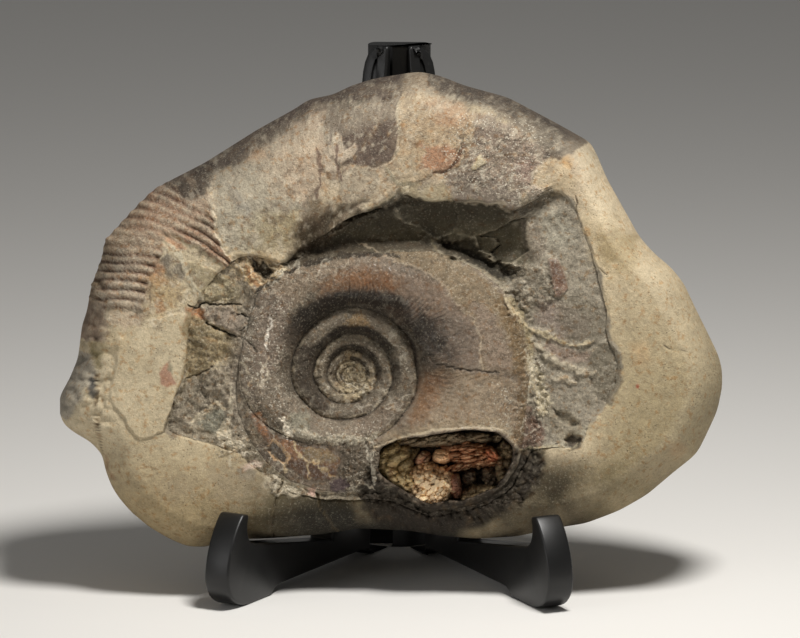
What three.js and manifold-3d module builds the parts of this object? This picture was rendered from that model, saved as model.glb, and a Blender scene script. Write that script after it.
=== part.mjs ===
// An ammonite in its limestone nodule, leaning back in a black moulded easel.
// Millimetres, +Z up, the fossil's face towards -Y.
//
// The stone is drawn in its own frame: u to the right across the face, v up the face,
// w out of the face. Every closed curve on the face is seen from the hub of the coil, so
// a direction on the face is an angle measured clockwise from straight up.
import * as THREE from 'three';
import { mergeGeometries, mergeVertices } from 'three/addons/utils/BufferGeometryUtils.js';
import Module from 'manifold-3d';

const wasm = await Module();
wasm.setup();

// ---- sizes ---------------------------------------------------------------------------
const LEAN = THREE.MathUtils.degToRad(12); // the face leans back from the vertical
const FACE_HEIGHT = 87; // middle of the face above the floor
const CLEARANCE = 0.3; // between pieces that touch

const HUB = [-12.3, -20.1]; // centre of the coil on the face
const BACK = -43; // flattest part of the stone's back
const SECTORS = 100; // directions in which the stone is sampled

// The coil: a seam that widens by GROWTH each turn, squeezed a little by direction.
const GROWTH = 1.6;
const FIRST_SEAM = 5.1;
const SQUEEZE = [1, 0.96, 0.87, 0.79, 0.77, 0.86, 0.96, 0.95]; // every 45 degrees
const FULL_TURNS = 3; // turns of seam inside the last whorl
const UMBILICUS_DEPTH = 13;
const WHORL_SWELL = 0.27; // swell of a whorl over its width
const LAST_SWELL = 0.21;
const WHORL_STEPS = 6; // rows of the skin across a whorl
const KNOB_HEIGHT = 1.3;

// Outlines on the face, clockwise from the top: u, v.
const STONE_EDGE = [
  [8.7, 72], [14.7, 70.8], [22.2, 67.8], [35.4, 64.2], [50.1, 56.4], [60.3, 50.7],
  [62.4, 46.5], [65.1, 39.9], [75, 22.2], [79.5, 17.1], [84.6, 12.9], [88.5, 8.1],
  [91.8, 0.9], [95.7, -6.9], [99.3, -14.4], [100.5, -21], [98.7, -30.3], [95.1, -38.1],
  [92.4, -43.5], [85.5, -48.9], [77.4, -55.8], [69, -60.6], [58.8, -64.5], [50.7, -65.7],
  [38.1, -68.4], [26.1, -69.1], [16.8, -68.4], [5.1, -66.6], [-9.6, -66], [-21.3, -67.8],
  [-32.7, -68.7], [-40, -69.1], [-49, -69.3], [-56, -71.6], [-61.5, -71.4], [-67.2, -69],
  [-73.2, -65.4], [-78.6, -60.9], [-82.2, -56.7], [-84.3, -53.4], [-86.1, -48.9],
  [-87.3, -43.5], [-90.9, -39.6], [-95.4, -37.2], [-99, -34.5], [-100.5, -29.7],
  [-99.9, -25.5], [-97.2, -21], [-94.5, -14.4], [-93.3, -4.5], [-91.8, -0.3],
  [-90.6, 6.9], [-87, 16.5], [-86.7, 20.4], [-81.6, 26.1], [-77.1, 30.9],
  [-71.7, 36.3], [-66.9, 39], [-56.4, 44.4], [-51.6, 47.4], [-40.2, 54.6],
  [-28.8, 60.9], [-24.9, 63.6], [-17.4, 65.1], [-12, 67.8], [-5.1, 69.9], [3.9, 71.4],
];
const COIL_EDGE = [
  [-12.3, 16.6], [1.8, 17.2], [11.7, 17.7], [19.2, 15.9], [26.1, 12], [32.7, 7.2],
  [37.2, 0.6], [40.5, -7.2], [42, -14.4], [41.4, -22.5], [40.2, -31.5], [39.6, -40.2],
  [38.1, -46.5], [34.8, -51.6], [29.7, -55.8], [21.6, -58.5], [11.1, -60], [5.7, -57.4],
  [1.2, -53.1], [-7.8, -53.1], [-13.8, -54.6], [-21.9, -54], [-30.3, -51.3], [-36.9, -45.9],
  [-42.3, -39.3], [-45.6, -31.5], [-46.8, -24], [-45.9, -16.5], [-44.1, -9], [-42.3, -1.5],
  [-39.9, 5.4], [-35.7, 9.3], [-30, 12.9], [-21.9, 15.3],
];
// Where the broken ground round the coil ends and the whole surface begins.
const FIELD_EDGE = [
  [1.5, 31.2], [3.3, 35.1], [11.7, 32.1], [19.2, 32.7], [29.7, 31.8], [38.7, 29.1],
  [46.5, 36.6], [50.7, 35.4], [54.3, 31.8], [56.7, 25.5], [59.7, 17.4], [62.7, 9],
  [64.8, -0.6], [64.5, -7.8], [68.1, -15.6], [67.2, -22.5], [64.2, -28.5], [60.3, -31.5],
  [57.9, -39], [55.2, -42.6], [49.5, -40.5], [41.7, -42], [39.6, -46.8], [36.3, -52.8],
  [30.3, -57.6], [21.6, -60.3], [11.1, -61.8], [4.2, -59.1], [-1.8, -56.7], [-13.8, -57],
  [-21.9, -57], [-30.3, -54.6], [-38.7, -49.5], [-45.3, -43.5], [-52.8, -40.5],
  [-67.5, -36.3], [-65.7, -28.2], [-62.7, -21], [-61.2, -13.8], [-61.5, -10.5],
  [-60.6, -6], [-60.3, -0.6], [-55.8, 6], [-52.8, 10.5], [-45.3, 16.2], [-38.7, 15.6],
  [-32.1, 14.1], [-27.3, 18], [-21.9, 21.3], [-16.8, 24.9], [-11.7, 28.2], [-5.7, 30.3],
];
// The broken body chamber at the end of the last whorl.
const CHAMBER_EDGE = [
  [-4, -41.2], [3.3, -38.4], [12.9, -37.2], [21.9, -35.7], [31.8, -36.3], [37.2, -41.1],
  [36.3, -46.8], [31.8, -53.4], [21.6, -57.3], [11.4, -58.2], [5.4, -55.2], [-1.2, -51.3],
  [-4.5, -48.6], [-3.3, -44.4],
];
const CHAMBER_FLOOR = -15;
const CHAMBER_HUB = [17, -47.5];
// Heaps of crumbs on the chamber's floor, and the hole between them: u, v, size, height.
const CRUMBS = [
  [14, -51, 9, 9.5], [28, -42, 8, 6], [6, -44, 6, 6], [20, -40, 5, 5], [33, -47, 5, 4],
];
const CRUST_PIT = [22, -47, 5, 2.4];

// Flat flakes of the gouge: a point on each, its height there, and its slopes.
const GOUGE_FLAKES = [
  [-10, 24, -9, 0, 0.75], [-25, 15, -6, -0.35, 0.1], [10, 20, -10.5, 0.08, -0.35],
  [26, 24, -10, 0.3, 0.45], [38, 20, -9, 0.8, 0.1], [33, 12, -9, 0.2, -0.6],
];

// Heights of the face, in pairs of degrees clockwise from the top and w.
const WHORL_MARGIN = [
  [0, 1.2], [45, 1.6], [90, 0.8], [115, -0.5], [150, -3.5], [180, -4], [225, -3], [270, -1.5],
  [315, 0.2],
];
const FIELD_INNER = [
  [-32, -1.5], [-22, -6], [0, -9], [30, -9.5], [52, -8], [62, -2.6], [80, -2.4], [105, -3],
  [117, -1.6], [150, -4.5], [180, -5], [225, -3.6], [270, -2.2], [305, -2],
];
const FIELD_OUTER = [
  [-32, -1], [-22, -5], [0, -7.5], [30, -8.5], [45.5, -7.5], [48, -1.2], [80, -2], [100, -3.4],
  [109, -2.4], [117, -1.6], [150, -4.6], [180, -5], [225, -3.4], [270, -1.6], [305, -1],
];
const BAND_INNER = [
  [-32, 1.2], [-5, 2.4], [25, 1.2], [46, 0.4], [70, 0.8], [100, 0], [110, -0.8], [150, -4],
  [180, -4.6], [225, -2.6], [270, 0.4], [290, 0.8],
];
const EDGE_LEVEL = [[0, -20], [60, -22], [110, -24], [180, -23], [250, -21], [300, -19]];
const EDGE_ROLL = [
  [0, 15], [50, 9], [80, 11], [120, 13], [155, 18], [185, 18], [207, 11], [230, 9], [270, 12], [320, 17],
];

// The easel: two side frames that meet in a post behind the stone.
const POST = { x: 2.5, y: 63.8, back: 3.2, top: 156.5 };
const EASEL_TURN = THREE.MathUtils.degToRad(2);
const SPREAD = THREE.MathUtils.degToRad(27.3); // each side frame from straight ahead
const FRAME_THICKNESS = 8.4;
const FRAME_START = 5; // from the post's centre line to the frame's rear edge
const FRAME_TOP = 157;
const SEAT = -69.9; // where the stone's underside rests, on its own v axis

// ---- small helpers -------------------------------------------------------------------
const FULL_TURN = 2 * Math.PI;
const smoothstep = (low, high, x) => {
  const t = Math.min(1, Math.max(0, (x - low) / (high - low)));
  return t * t * (3 - 2 * t);
};
const mix = (a, b, t) => a + (b - a) * t;
const turnOf = (angle) => angle - FULL_TURN * Math.floor(angle / FULL_TURN);

// Height at an angle, from pairs of degrees and height, round the full turn.
function keyed(pairs) {
  const keys = pairs.map(([degrees, value]) => [turnOf(THREE.MathUtils.degToRad(degrees)), value]);
  keys.sort((a, b) => a[0] - b[0]);
  return (angle) => {
    const a = turnOf(angle);
    let i = keys.findIndex((key) => key[0] > a);
    if (i < 0) i = keys.length;
    const [before, after] = [keys.at(i - 1), keys[i % keys.length]];
    const span = turnOf(after[0] - before[0]);
    return mix(before[1], after[1], smoothstep(0, 1, turnOf(a - before[0]) / span));
  };
}

// Distance from a hub to a closed outline, in the direction of an angle.
function outline(points, hub) {
  const spokes = points.map(([u, v]) => [u - hub[0], v - hub[1]]);
  const angles = spokes.map(([u, v]) => turnOf(Math.atan2(u, v)));
  return (angle) => {
    const i = spokes.findIndex((_, k) => {
      const next = (k + 1) % spokes.length;
      const span = turnOf(angles[next] - angles[k]);
      return span < Math.PI && turnOf(angle - angles[k]) <= span;
    });
    const [p, q] = [spokes[i], spokes[(i + 1) % spokes.length]];
    const [du, dv] = [q[0] - p[0], q[1] - p[1]];
    return (p[0] * dv - p[1] * du) / (Math.sin(angle) * dv - Math.cos(angle) * du);
  };
}

// Gentle unevenness of broken stone, between -1 and 1.
function lumps(u, v, size) {
  const [a, b] = [u / size, v / size];
  const wave = Math.sin(a * 1.7 + Math.sin(b * 1.3) * 1.4) + Math.sin(b * 2.1 + Math.sin(a * 1.9) * 1.2);
  return wave / 2;
}

const stoneEdge = outline(STONE_EDGE, HUB);
const coilEdge = outline(COIL_EDGE, HUB);
const fieldEdge = outline(FIELD_EDGE, HUB);
const chamberEdge = outline(CHAMBER_EDGE, CHAMBER_HUB);
const whorlMargin = keyed(WHORL_MARGIN);
const fieldInner = keyed(FIELD_INNER);
const fieldOuter = keyed(FIELD_OUTER);
const bandInner = keyed(BAND_INNER);
const edgeLevel = keyed(EDGE_LEVEL);
const edgeRoll = keyed(EDGE_ROLL);
const squeeze = keyed(SQUEEZE.map((value, i) => [i * 45, value]));

// ---- the face ------------------------------------------------------------------------
const seamRadius = (turns) => FIRST_SEAM * GROWTH ** turns * squeeze(turns * FULL_TURN);
const seamDepth = (turns) => -UMBILICUS_DEPTH * (1 - GROWTH ** (turns - FULL_TURNS - 0.7));

// Seams crossed on the way out in a direction. The last one swings out to the coil's edge,
// so that the whorl outside it is gone after one turn.
function seamsAt(turn) {
  const radii = [];
  for (let k = 0; k <= FULL_TURNS; k += 1) radii.push(seamRadius(k + turn));
  const edge = coilEdge(turn * FULL_TURN);
  radii[FULL_TURNS] = mix(radii[FULL_TURNS], edge, smoothstep(0.56, 0.82, turn));
  return [...radii, edge];
}

// A whorl across its width: a steep inner wall, a shoulder and a long flank.
function whorlProfile(t, shoulder) {
  if (t < shoulder) return Math.sqrt(1 - (1 - t / shoulder) ** 2);
  return Math.cos((Math.PI / 2) * ((t - shoulder) / (1 - shoulder)) ** 1.5);
}

// The last whorl is worn down where its shell has broken away past the open chamber.
const wear = (turn) => smoothstep(0.36, 0.46, turn) * (1 - smoothstep(0.6, 0.78, turn));

// Height on whorl number k, t of the way across it.
function whorlHeight(k, t, turn) {
  const seams = seamsAt(turn);
  const width = seams[k + 1] - seams[k];
  const angle = turn * FULL_TURN;
  if (k === FULL_TURNS) {
    const level = mix(seamDepth(k + turn), whorlMargin(angle), t ** 0.8);
    return level + LAST_SWELL * width * (1 - 0.8 * wear(turn)) * whorlProfile(t, 0.34);
  }
  const last = k === FULL_TURNS - 1 ? smoothstep(0.5, 1, turn) : 0;
  const outer = mix(seamDepth(k + 1 + turn), whorlMargin(angle), last);
  const swell = mix(WHORL_SWELL, LAST_SWELL, last) * width;
  return mix(seamDepth(k + turn), outer, t) + swell * whorlProfile(t, 0.36);
}

// The ground between the coil and the whole surface: the deep gouge above the coil is a
// trough of flat flakes, and the ledges at its sides are ridged.
function fieldHeight(u, v, t, angle) {
  const level = mix(fieldInner(angle), fieldOuter(angle), t);
  const trough = smoothstep(4.5, 6.5, -level);
  const flakes = Math.max(...GOUGE_FLAKES.map(([cu, cv, base, alongU, alongV]) => (
    base + alongU * (u - cu) + alongV * (v - cv)
  )));
  const ridges = 0.9 * Math.sin((v + 0.45 * u) * 0.75) * smoothstep(44, 52, u);
  return mix(level + ridges + 0.9 * lumps(u, v, 5), Math.min(-2, Math.max(level - 3, flakes)), trough);
}

function bandHeight(radius, angle) {
  const [field, stone] = [fieldEdge(angle), stoneEdge(angle)];
  const [u, v] = facePoint(radius, angle);
  const inset = Math.min(1, Math.max(0, (stone - radius) / edgeRoll(angle)));
  const rounding = Math.sqrt(1 - (1 - inset) ** 2);
  const crown = Math.sin(Math.PI * Math.min(1, (radius - field) / (stone - field)));
  const top = bandInner(angle) + 1.5 * crown + 0.8 * lumps(u, v, 9);
  return mix(edgeLevel(angle), top, rounding);
}

function backHeight(radius, angle) {
  const reach = radius / stoneEdge(angle);
  const [u, v] = facePoint(radius, angle);
  const rounding = Math.sqrt(1 - Math.max(0, (reach - 0.62) / 0.38) ** 2.4);
  const rough = 1.6 * (1 + lumps(u, v, 16)) * smoothstep(0, 0.4, reach);
  return mix(edgeLevel(angle), BACK + rough, rounding);
}

const facePoint = (radius, angle) => [
  HUB[0] + radius * Math.sin(angle), HUB[1] + radius * Math.cos(angle),
];

// One spoke of the stone's skin, from the innermost seam out over the edge to the back.
function spoke(turn) {
  const angle = turn * FULL_TURN;
  const points = [];
  const add = (radius, w) => points.push([...facePoint(radius, angle), w]);
  const seams = seamsAt(turn);
  for (let k = 0; k <= FULL_TURNS; k += 1) {
    for (let step = 0; step < WHORL_STEPS; step += 1) {
      const t = step / WHORL_STEPS;
      add(mix(seams[k], seams[k + 1], t), whorlHeight(k, t, turn));
    }
  }
  const [coil, field, stone] = [coilEdge(angle), fieldEdge(angle), stoneEdge(angle)];
  add(coil, whorlHeight(FULL_TURNS, 1, turn));
  const lip = Math.min(0.5, (field - coil) / 4);
  for (const t of [0, 0.33, 0.67, 1]) {
    const radius = mix(coil + lip, field - lip, t);
    add(radius, fieldHeight(...facePoint(radius, angle), t, angle));
  }
  const roll = Math.min(edgeRoll(angle), stone - field - 1);
  for (const t of [0, 0.33, 0.67]) {
    const radius = mix(field, stone - roll, t);
    add(radius, bandHeight(radius, angle));
  }
  for (const t of [0, 0.3, 0.58, 0.82, 0.95, 1]) {
    const radius = stone - roll * (1 - t);
    add(radius, bandHeight(radius, angle));
  }
  for (const reach of [0.96, 0.86, 0.7, 0.5, 0.25]) {
    const radius = reach * stone;
    add(radius, backHeight(radius, angle));
  }
  return points;
}

// The skin's spokes are joined row by row. After a full turn each whorl has become the
// next one out, so the last spoke meets the first one WHORL_STEPS rows further on.
function noduleSkin() {
  const spokes = Array.from({ length: SECTORS }, (_, i) => spoke(i / SECTORS));
  const rows = spokes[0].length;
  const coilRow = (FULL_TURNS + 1) * WHORL_STEPS;
  const index = [];
  const corner = (i, row) => {
    if (i < SECTORS) return i * rows + row;
    return row < coilRow ? Math.min(row + WHORL_STEPS, coilRow) : row;
  };
  const face = (a, b, c) => {
    if (a !== b && b !== c && c !== a) index.push(a, b, c);
  };
  for (let i = 0; i < SECTORS; i += 1) {
    for (let row = 0; row < rows - 1; row += 1) {
      const [a, b] = [corner(i, row), corner(i + 1, row)];
      const [c, d] = [corner(i, row + 1), corner(i + 1, row + 1)];
      face(a, b, c);
      face(b, d, c);
    }
  }
  const [knob, backMiddle] = [SECTORS * rows, SECTORS * rows + 1];
  for (let i = 0; i < SECTORS; i += 1) {
    face(knob, corner(i + 1, 0), corner(i, 0));
    face(backMiddle, corner(i, rows - 1), corner(i + 1, rows - 1));
  }
  for (let row = WHORL_STEPS; row > 0; row -= 1) face(knob, corner(0, row - 1), corner(0, row));
  const knobPoint = [HUB[0], HUB[1] - 1, seamDepth(0) + KNOB_HEIGHT];
  const positions = [...spokes.flat(), knobPoint, [...HUB, BACK]].flat();
  const geometry = new THREE.BufferGeometry();
  geometry.setAttribute('position', new THREE.Float32BufferAttribute(positions, 3));
  geometry.setIndex(index);
  return geometry;
}

function solid(geometry) {
  const bare = geometry.clone();
  for (const name of ['normal', 'uv']) bare.deleteAttribute(name);
  const merged = mergeVertices(bare, 1e-4);
  return new wasm.Manifold(new wasm.Mesh({
    numProp: 3,
    vertProperties: new Float32Array(merged.attributes.position.array),
    triVerts: new Uint32Array(merged.index.array),
  }));
}

function geometryOf(body) {
  const { vertProperties, triVerts } = body.getMesh();
  const geometry = new THREE.BufferGeometry();
  geometry.setAttribute('position', new THREE.BufferAttribute(new Float32Array(vertProperties), 3));
  geometry.setIndex(new THREE.BufferAttribute(new Uint32Array(triVerts), 1));
  geometry.computeVertexNormals();
  return geometry;
}

// ---- the stone -----------------------------------------------------------------------
function chamberCutter() {
  const shape = new THREE.Shape(CHAMBER_EDGE.map(([u, v]) => new THREE.Vector2(u, v)));
  const cutter = new THREE.ExtrudeGeometry(shape, { depth: 40, bevelEnabled: false });
  cutter.translate(0, 0, CHAMBER_FLOOR);
  return cutter;
}

// Rust and calcite that line the open chamber: crumbs heaped round a hole.
function chamberCrust() {
  const heap = (u, v, [cu, cv, size, height]) => (
    height * Math.exp(-2 * ((u - cu) ** 2 + (v - cv) ** 2) / size ** 2)
  );
  const floor = CHAMBER_FLOOR + CLEARANCE;
  const top = (u, v) => {
    const raised = Math.max(1.5, ...CRUMBS.map((crumb) => heap(u, v, crumb)));
    return floor + 1.4 + raised - heap(u, v, CRUST_PIT) + 0.8 * lumps(u, v, 1.6);
  };
  const count = 28;
  const reaches = [0.25, 0.5, 0.75, 1];
  const positions = [...CHAMBER_HUB, top(...CHAMBER_HUB)];
  const index = [];
  for (let i = 0; i < count; i += 1) {
    const angle = (i / count) * FULL_TURN;
    const point = (reach) => {
      const radius = (chamberEdge(angle) - 1.7) * reach;
      return [CHAMBER_HUB[0] + radius * Math.sin(angle), CHAMBER_HUB[1] + radius * Math.cos(angle)];
    };
    for (const reach of reaches) positions.push(...point(reach), top(...point(reach)));
    positions.push(...point(1), floor);
  }
  positions.push(...CHAMBER_HUB, floor);
  const rows = reaches.length + 1;
  for (let i = 0; i < count; i += 1) {
    const [a, b] = [1 + i * rows, 1 + ((i + 1) % count) * rows];
    index.push(0, b, a, a + rows - 1, b + rows - 1, 1 + count * rows);
    for (let row = 0; row < rows - 1; row += 1) {
      index.push(a + row, b + row, a + row + 1, b + row, b + row + 1, a + row + 1);
    }
  }
  const geometry = new THREE.BufferGeometry();
  geometry.setAttribute('position', new THREE.Float32BufferAttribute(positions, 3));
  geometry.setIndex(index);
  return geometry;
}

// ---- the easel -----------------------------------------------------------------------
// A side frame in its own plane: d forwards from the post, z up.
const seatAt = (w) => ({
  y: SEAT * Math.sin(LEAN) - w * Math.cos(LEAN),
  z: FACE_HEIGHT + SEAT * Math.cos(LEAN) + w * Math.sin(LEAN),
});
const forwards = (y) => (POST.y - y) / Math.cos(SPREAD + EASEL_TURN);

function sideFrameShape() {
  const rest = BACK - CLEARANCE;
  const heel = seatAt(rest);
  const toe = seatAt(-1.5);
  const leanTop = 128;
  const leanY = heel.y + (leanTop - heel.z) * Math.tan(LEAN);
  const shape = new THREE.Shape();
  shape.moveTo(FRAME_START, 0);
  shape.lineTo(17, 0);
  shape.quadraticCurveTo(19, 2.5, 23, 2.5);
  shape.lineTo(72, 2.5);
  shape.quadraticCurveTo(76, 2.5, 78, 0);
  shape.lineTo(92, 0);
  shape.bezierCurveTo(101, 0.5, 105, 6, 104, 12);
  shape.bezierCurveTo(103, 19, 98.5, 25.5, 94.6, 28.3);
  shape.lineTo(91.3, 27.6);
  shape.bezierCurveTo(92.4, 25, 93, 22, forwards(toe.y) + 2.4, toe.z + 1);
  shape.lineTo(forwards(toe.y), toe.z - 0.4);
  shape.lineTo(forwards(heel.y) - 0.3, heel.z - 0.2);
  shape.lineTo(forwards(leanY), leanTop);
  shape.bezierCurveTo(forwards(leanY) - 2.2, 137, forwards(leanY) - 4.8, 148, FRAME_START + 1, FRAME_TOP);
  shape.lineTo(FRAME_START, FRAME_TOP - 0.5);
  const window = new THREE.Path();
  window.moveTo(15, 12);
  window.lineTo(15, 72);
  window.quadraticCurveTo(15.4, 75, 16.6, 72);
  window.lineTo(29.4, 17);
  window.quadraticCurveTo(30.4, 12, 26.4, 12);
  window.lineTo(15, 12);
  shape.holes.push(window);
  return shape;
}

// side: -1 for the left frame, 1 for the right one.
function sideFrame(side) {
  const geometry = new THREE.ExtrudeGeometry(sideFrameShape(), {
    depth: FRAME_THICKNESS, curveSegments: 6, bevelEnabled: false,
  });
  // The shape's x runs forwards from the post, its y up, and its depth outwards.
  const heading = side * SPREAD - EASEL_TURN;
  const ahead = new THREE.Vector3(Math.sin(heading), -Math.cos(heading), 0);
  const outwards = new THREE.Vector3(side * Math.cos(heading), side * Math.sin(heading), 0);
  const basis = new THREE.Matrix4().makeBasis(ahead, new THREE.Vector3(0, 0, 1), outwards);
  geometry.applyMatrix4(basis);
  if (basis.determinant() < 0) flip(geometry);
  geometry.translate(outwards.x * CLEARANCE / 2, outwards.y * CLEARANCE / 2, 0);
  return geometry;
}

// A mirrored shape has its faces turned inside out: swap two corners of each.
function flip(geometry) {
  const { array } = geometry.attributes.position;
  for (let i = 0; i < array.length; i += 9) {
    for (let k = 0; k < 3; k += 1) {
      [array[i + 3 + k], array[i + 6 + k]] = [array[i + 6 + k], array[i + 3 + k]];
    }
  }
  geometry.computeVertexNormals();
}

function post() {
  const shape = new THREE.Shape();
  const half = 8.6;
  const gap = FRAME_START - CLEARANCE;
  const front = [gap * Math.sin(SPREAD), -gap * Math.cos(SPREAD)];
  shape.moveTo(-front[0], front[1]);
  shape.lineTo(front[0], front[1]);
  shape.lineTo(front[0] + FRAME_THICKNESS * Math.cos(SPREAD), front[1] + FRAME_THICKNESS * Math.sin(SPREAD));
  shape.quadraticCurveTo(half + 0.6, POST.back, half - 2, POST.back);
  shape.lineTo(-half + 2, POST.back);
  shape.quadraticCurveTo(
    -half - 0.6, POST.back,
    -front[0] - FRAME_THICKNESS * Math.cos(SPREAD), front[1] + FRAME_THICKNESS * Math.sin(SPREAD),
  );
  const geometry = new THREE.ExtrudeGeometry(shape, {
    depth: POST.top, curveSegments: 5, bevelEnabled: false,
  });
  geometry.rotateZ(-EASEL_TURN);
  return geometry;
}

// ---- the finished model --------------------------------------------------------------
const finish = (color, roughness) => new THREE.MeshStandardMaterial({ color, roughness, metalness: 0 });
const limestone = finish('#b3a68c', 0.85);
const rust = finish('#7a5a3c', 0.9);
const plastic = finish('#141414', 0.38);

function piece(name, geometry, material) {
  const mesh = new THREE.Mesh(geometry, material);
  mesh.name = name;
  return mesh;
}

const stone = new THREE.Group();
stone.rotation.x = Math.PI / 2 - LEAN;
stone.position.z = FACE_HEIGHT;
const nodulePiece = geometryOf(solid(noduleSkin()).subtract(solid(chamberCutter())));
stone.add(piece('ammonite_nodule', nodulePiece, limestone));
stone.add(piece('chamber_crust', chamberCrust(), rust));

const easel = new THREE.Group();
easel.position.set(POST.x, POST.y, 0);
easel.add(piece('easel_frame_left', sideFrame(-1), plastic));
easel.add(piece('easel_frame_right', sideFrame(1), plastic));
easel.add(piece('easel_post', post(), plastic));

// The origin is under the middle of the whole, on the floor.
const model = new THREE.Group();
model.add(stone, easel);
model.updateMatrixWorld(true);
const reach = new THREE.Box3().setFromObject(model, true);
model.position.set(-(reach.min.x + reach.max.x) / 2, -(reach.min.y + reach.max.y) / 2, -reach.min.z);

export default model;
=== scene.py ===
import math

import bmesh
import bpy
import numpy as np
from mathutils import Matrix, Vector


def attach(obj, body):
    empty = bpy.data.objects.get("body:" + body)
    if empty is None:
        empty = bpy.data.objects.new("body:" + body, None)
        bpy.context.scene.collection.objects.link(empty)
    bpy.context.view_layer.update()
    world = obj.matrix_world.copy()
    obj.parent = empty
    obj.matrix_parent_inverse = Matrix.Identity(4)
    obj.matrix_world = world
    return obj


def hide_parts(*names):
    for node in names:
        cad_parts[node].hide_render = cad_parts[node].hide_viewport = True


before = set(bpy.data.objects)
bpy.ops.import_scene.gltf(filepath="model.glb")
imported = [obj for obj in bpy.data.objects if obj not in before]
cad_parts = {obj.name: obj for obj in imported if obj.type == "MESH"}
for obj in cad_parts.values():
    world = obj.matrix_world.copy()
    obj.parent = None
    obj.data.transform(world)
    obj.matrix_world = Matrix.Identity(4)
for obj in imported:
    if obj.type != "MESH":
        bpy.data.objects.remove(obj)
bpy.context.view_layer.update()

# An ammonite in its limestone nodule, leaning back in a black moulded easel.
#
# The stone is drawn in millimetres in its own frame: u to the right across the face, v up
# the face, w out of the face. Directions on the face are angles measured clockwise from
# straight up, seen from the hub of the coil.

# ---- sizes ---------------------------------------------------------------------------
MM = 0.001
FULL_TURN = 2 * math.pi
LEAN = math.radians(12)
FACE_MIDDLE = (-0.15, -18.496, 87.0)  # where u = v = w = 0 stands in the row frame
WIDEST = 100.0  # the stone's reach to either side

HUB = (-12.3, -20.1)
BACK = -43.0
GROWTH = 1.6
FIRST_SEAM = 5.1
SQUEEZE = [1, 0.96, 0.87, 0.79, 0.77, 0.86, 0.96, 0.95]  # every 45 degrees
FULL_TURNS = 3
INNER_TURNS = 2  # worn turns inside the first seam
UMBILICUS_DEPTH = 13.5
WHORL_SWELL = 0.36
LAST_SWELL = 0.25
GOUGE_SLIDE = 3.0  # how far the surface dips towards the gouge's left end
KNOB_HEIGHT = 0.5
HIDDEN_DEPTH = -19.0  # how deep the hidden sides of the pieces of the face go

QUARTER = 300  # cells along each side of the coil's grid
SECTORS = 4 * QUARTER
GROUND_ROWS = 62
SURFACE_ROWS = 60
ROLL_ROWS = 15
BACK_ROWS = 16

STONE_EDGE = [
    (8.7, 72), (14.7, 70.8), (22.2, 67.8), (35.4, 64.2), (50.1, 56.4), (60.3, 50.7),
    (62.4, 46.5), (65.1, 39.9), (75, 22.2), (79.5, 17.1), (84.6, 12.9), (88.5, 8.1),
    (91.8, 0.9), (95.7, -6.9), (99.3, -14.4), (100.5, -21), (98.7, -30.3), (95.1, -38.1),
    (92.4, -43.5), (85.5, -48.9), (77.4, -55.8), (69, -60.6), (58.8, -64.5), (50.7, -65.7),
    (38.1, -68.4), (26.1, -69.1), (16.8, -68.4), (5.1, -66.6), (-9.6, -66), (-21.3, -67.8),
    (-32.7, -68.7), (-40, -69.1), (-49, -69.3), (-56, -71.6), (-61.5, -71.4), (-67.2, -69),
    (-73.2, -65.4), (-78.6, -60.9), (-82.2, -56.7), (-84.3, -53.4), (-86.1, -48.9),
    (-87.3, -43.5), (-90.9, -39.6), (-95.4, -37.2), (-99, -34.5), (-100.5, -29.7),
    (-99.9, -25.5), (-97.2, -21), (-94.5, -14.4), (-93.3, -4.5), (-91.8, -0.3),
    (-90.6, 6.9), (-87, 16.5), (-86.7, 20.4), (-81.6, 26.1), (-77.1, 30.9),
    (-71.7, 36.3), (-66.9, 39), (-56.4, 44.4), (-51.6, 47.4), (-40.2, 54.6),
    (-28.8, 60.9), (-24.9, 63.6), (-17.4, 65.1), (-12, 67.8), (-5.1, 69.9), (3.9, 71.4),
]
COIL_EDGE = [
    (-12.3, 16.6), (1.8, 17.2), (11.7, 17.7), (19.2, 15.9), (26.1, 12), (32.7, 7.2),
    (37.2, 0.6), (40.5, -7.2), (42, -14.4), (41.4, -22.5), (40.2, -31.5), (39.6, -40.2),
    (38.1, -46.5), (34.8, -51.6), (29.7, -55.8), (21.6, -58.5), (11.1, -60), (5.7, -57.4),
    (1.2, -53.1), (-7.8, -53.1), (-13.8, -54.6), (-21.9, -54), (-30.3, -51.3),
    (-36.9, -45.9), (-42.3, -39.3), (-45.6, -31.5), (-46.8, -24), (-45.9, -16.5),
    (-44.1, -9), (-42.3, -1.5), (-39.9, 5.4), (-35.7, 9.3), (-30, 12.9), (-21.9, 15.3),
]
# Where the broken ground round the coil ends and the whole surface begins.
GROUND_EDGE = [
    (1.5, 31.2), (3.3, 35.1), (11.7, 32.1), (19.2, 32.7), (29.7, 31.8), (38.7, 29.1),
    (46.5, 36.6), (50.7, 35.4), (54.3, 31.8), (56.7, 25.5), (59.7, 17.4), (62.7, 9),
    (64.8, -0.6), (64.5, -7.8), (68.1, -15.6), (67.2, -22.5), (64.2, -28.5), (60.3, -31.5),
    (57.9, -39), (55.2, -42.6), (49.5, -40.5), (41.7, -42), (39.6, -46.8), (36.3, -52.8),
    (30.3, -57.6), (21.6, -60.3), (11.1, -61.8), (4.2, -59.1), (-1.8, -56.7), (-13.8, -57),
    (-21.9, -57), (-30.3, -54.6), (-38.7, -49.5), (-45.3, -43.5), (-52.8, -40.5),
    (-67.5, -36.3), (-65.7, -28.2), (-62.7, -21), (-61.2, -13.8), (-61.5, -10.5),
    (-60.6, -6), (-60.3, -0.6), (-55.8, 6), (-52.8, 10.5), (-45.3, 16.2), (-38.7, 15.6),
    (-32.1, 14.1), (-27.3, 18), (-21.9, 21.3), (-16.8, 24.9), (-11.7, 28.2), (-5.7, 30.3),
]
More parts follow.
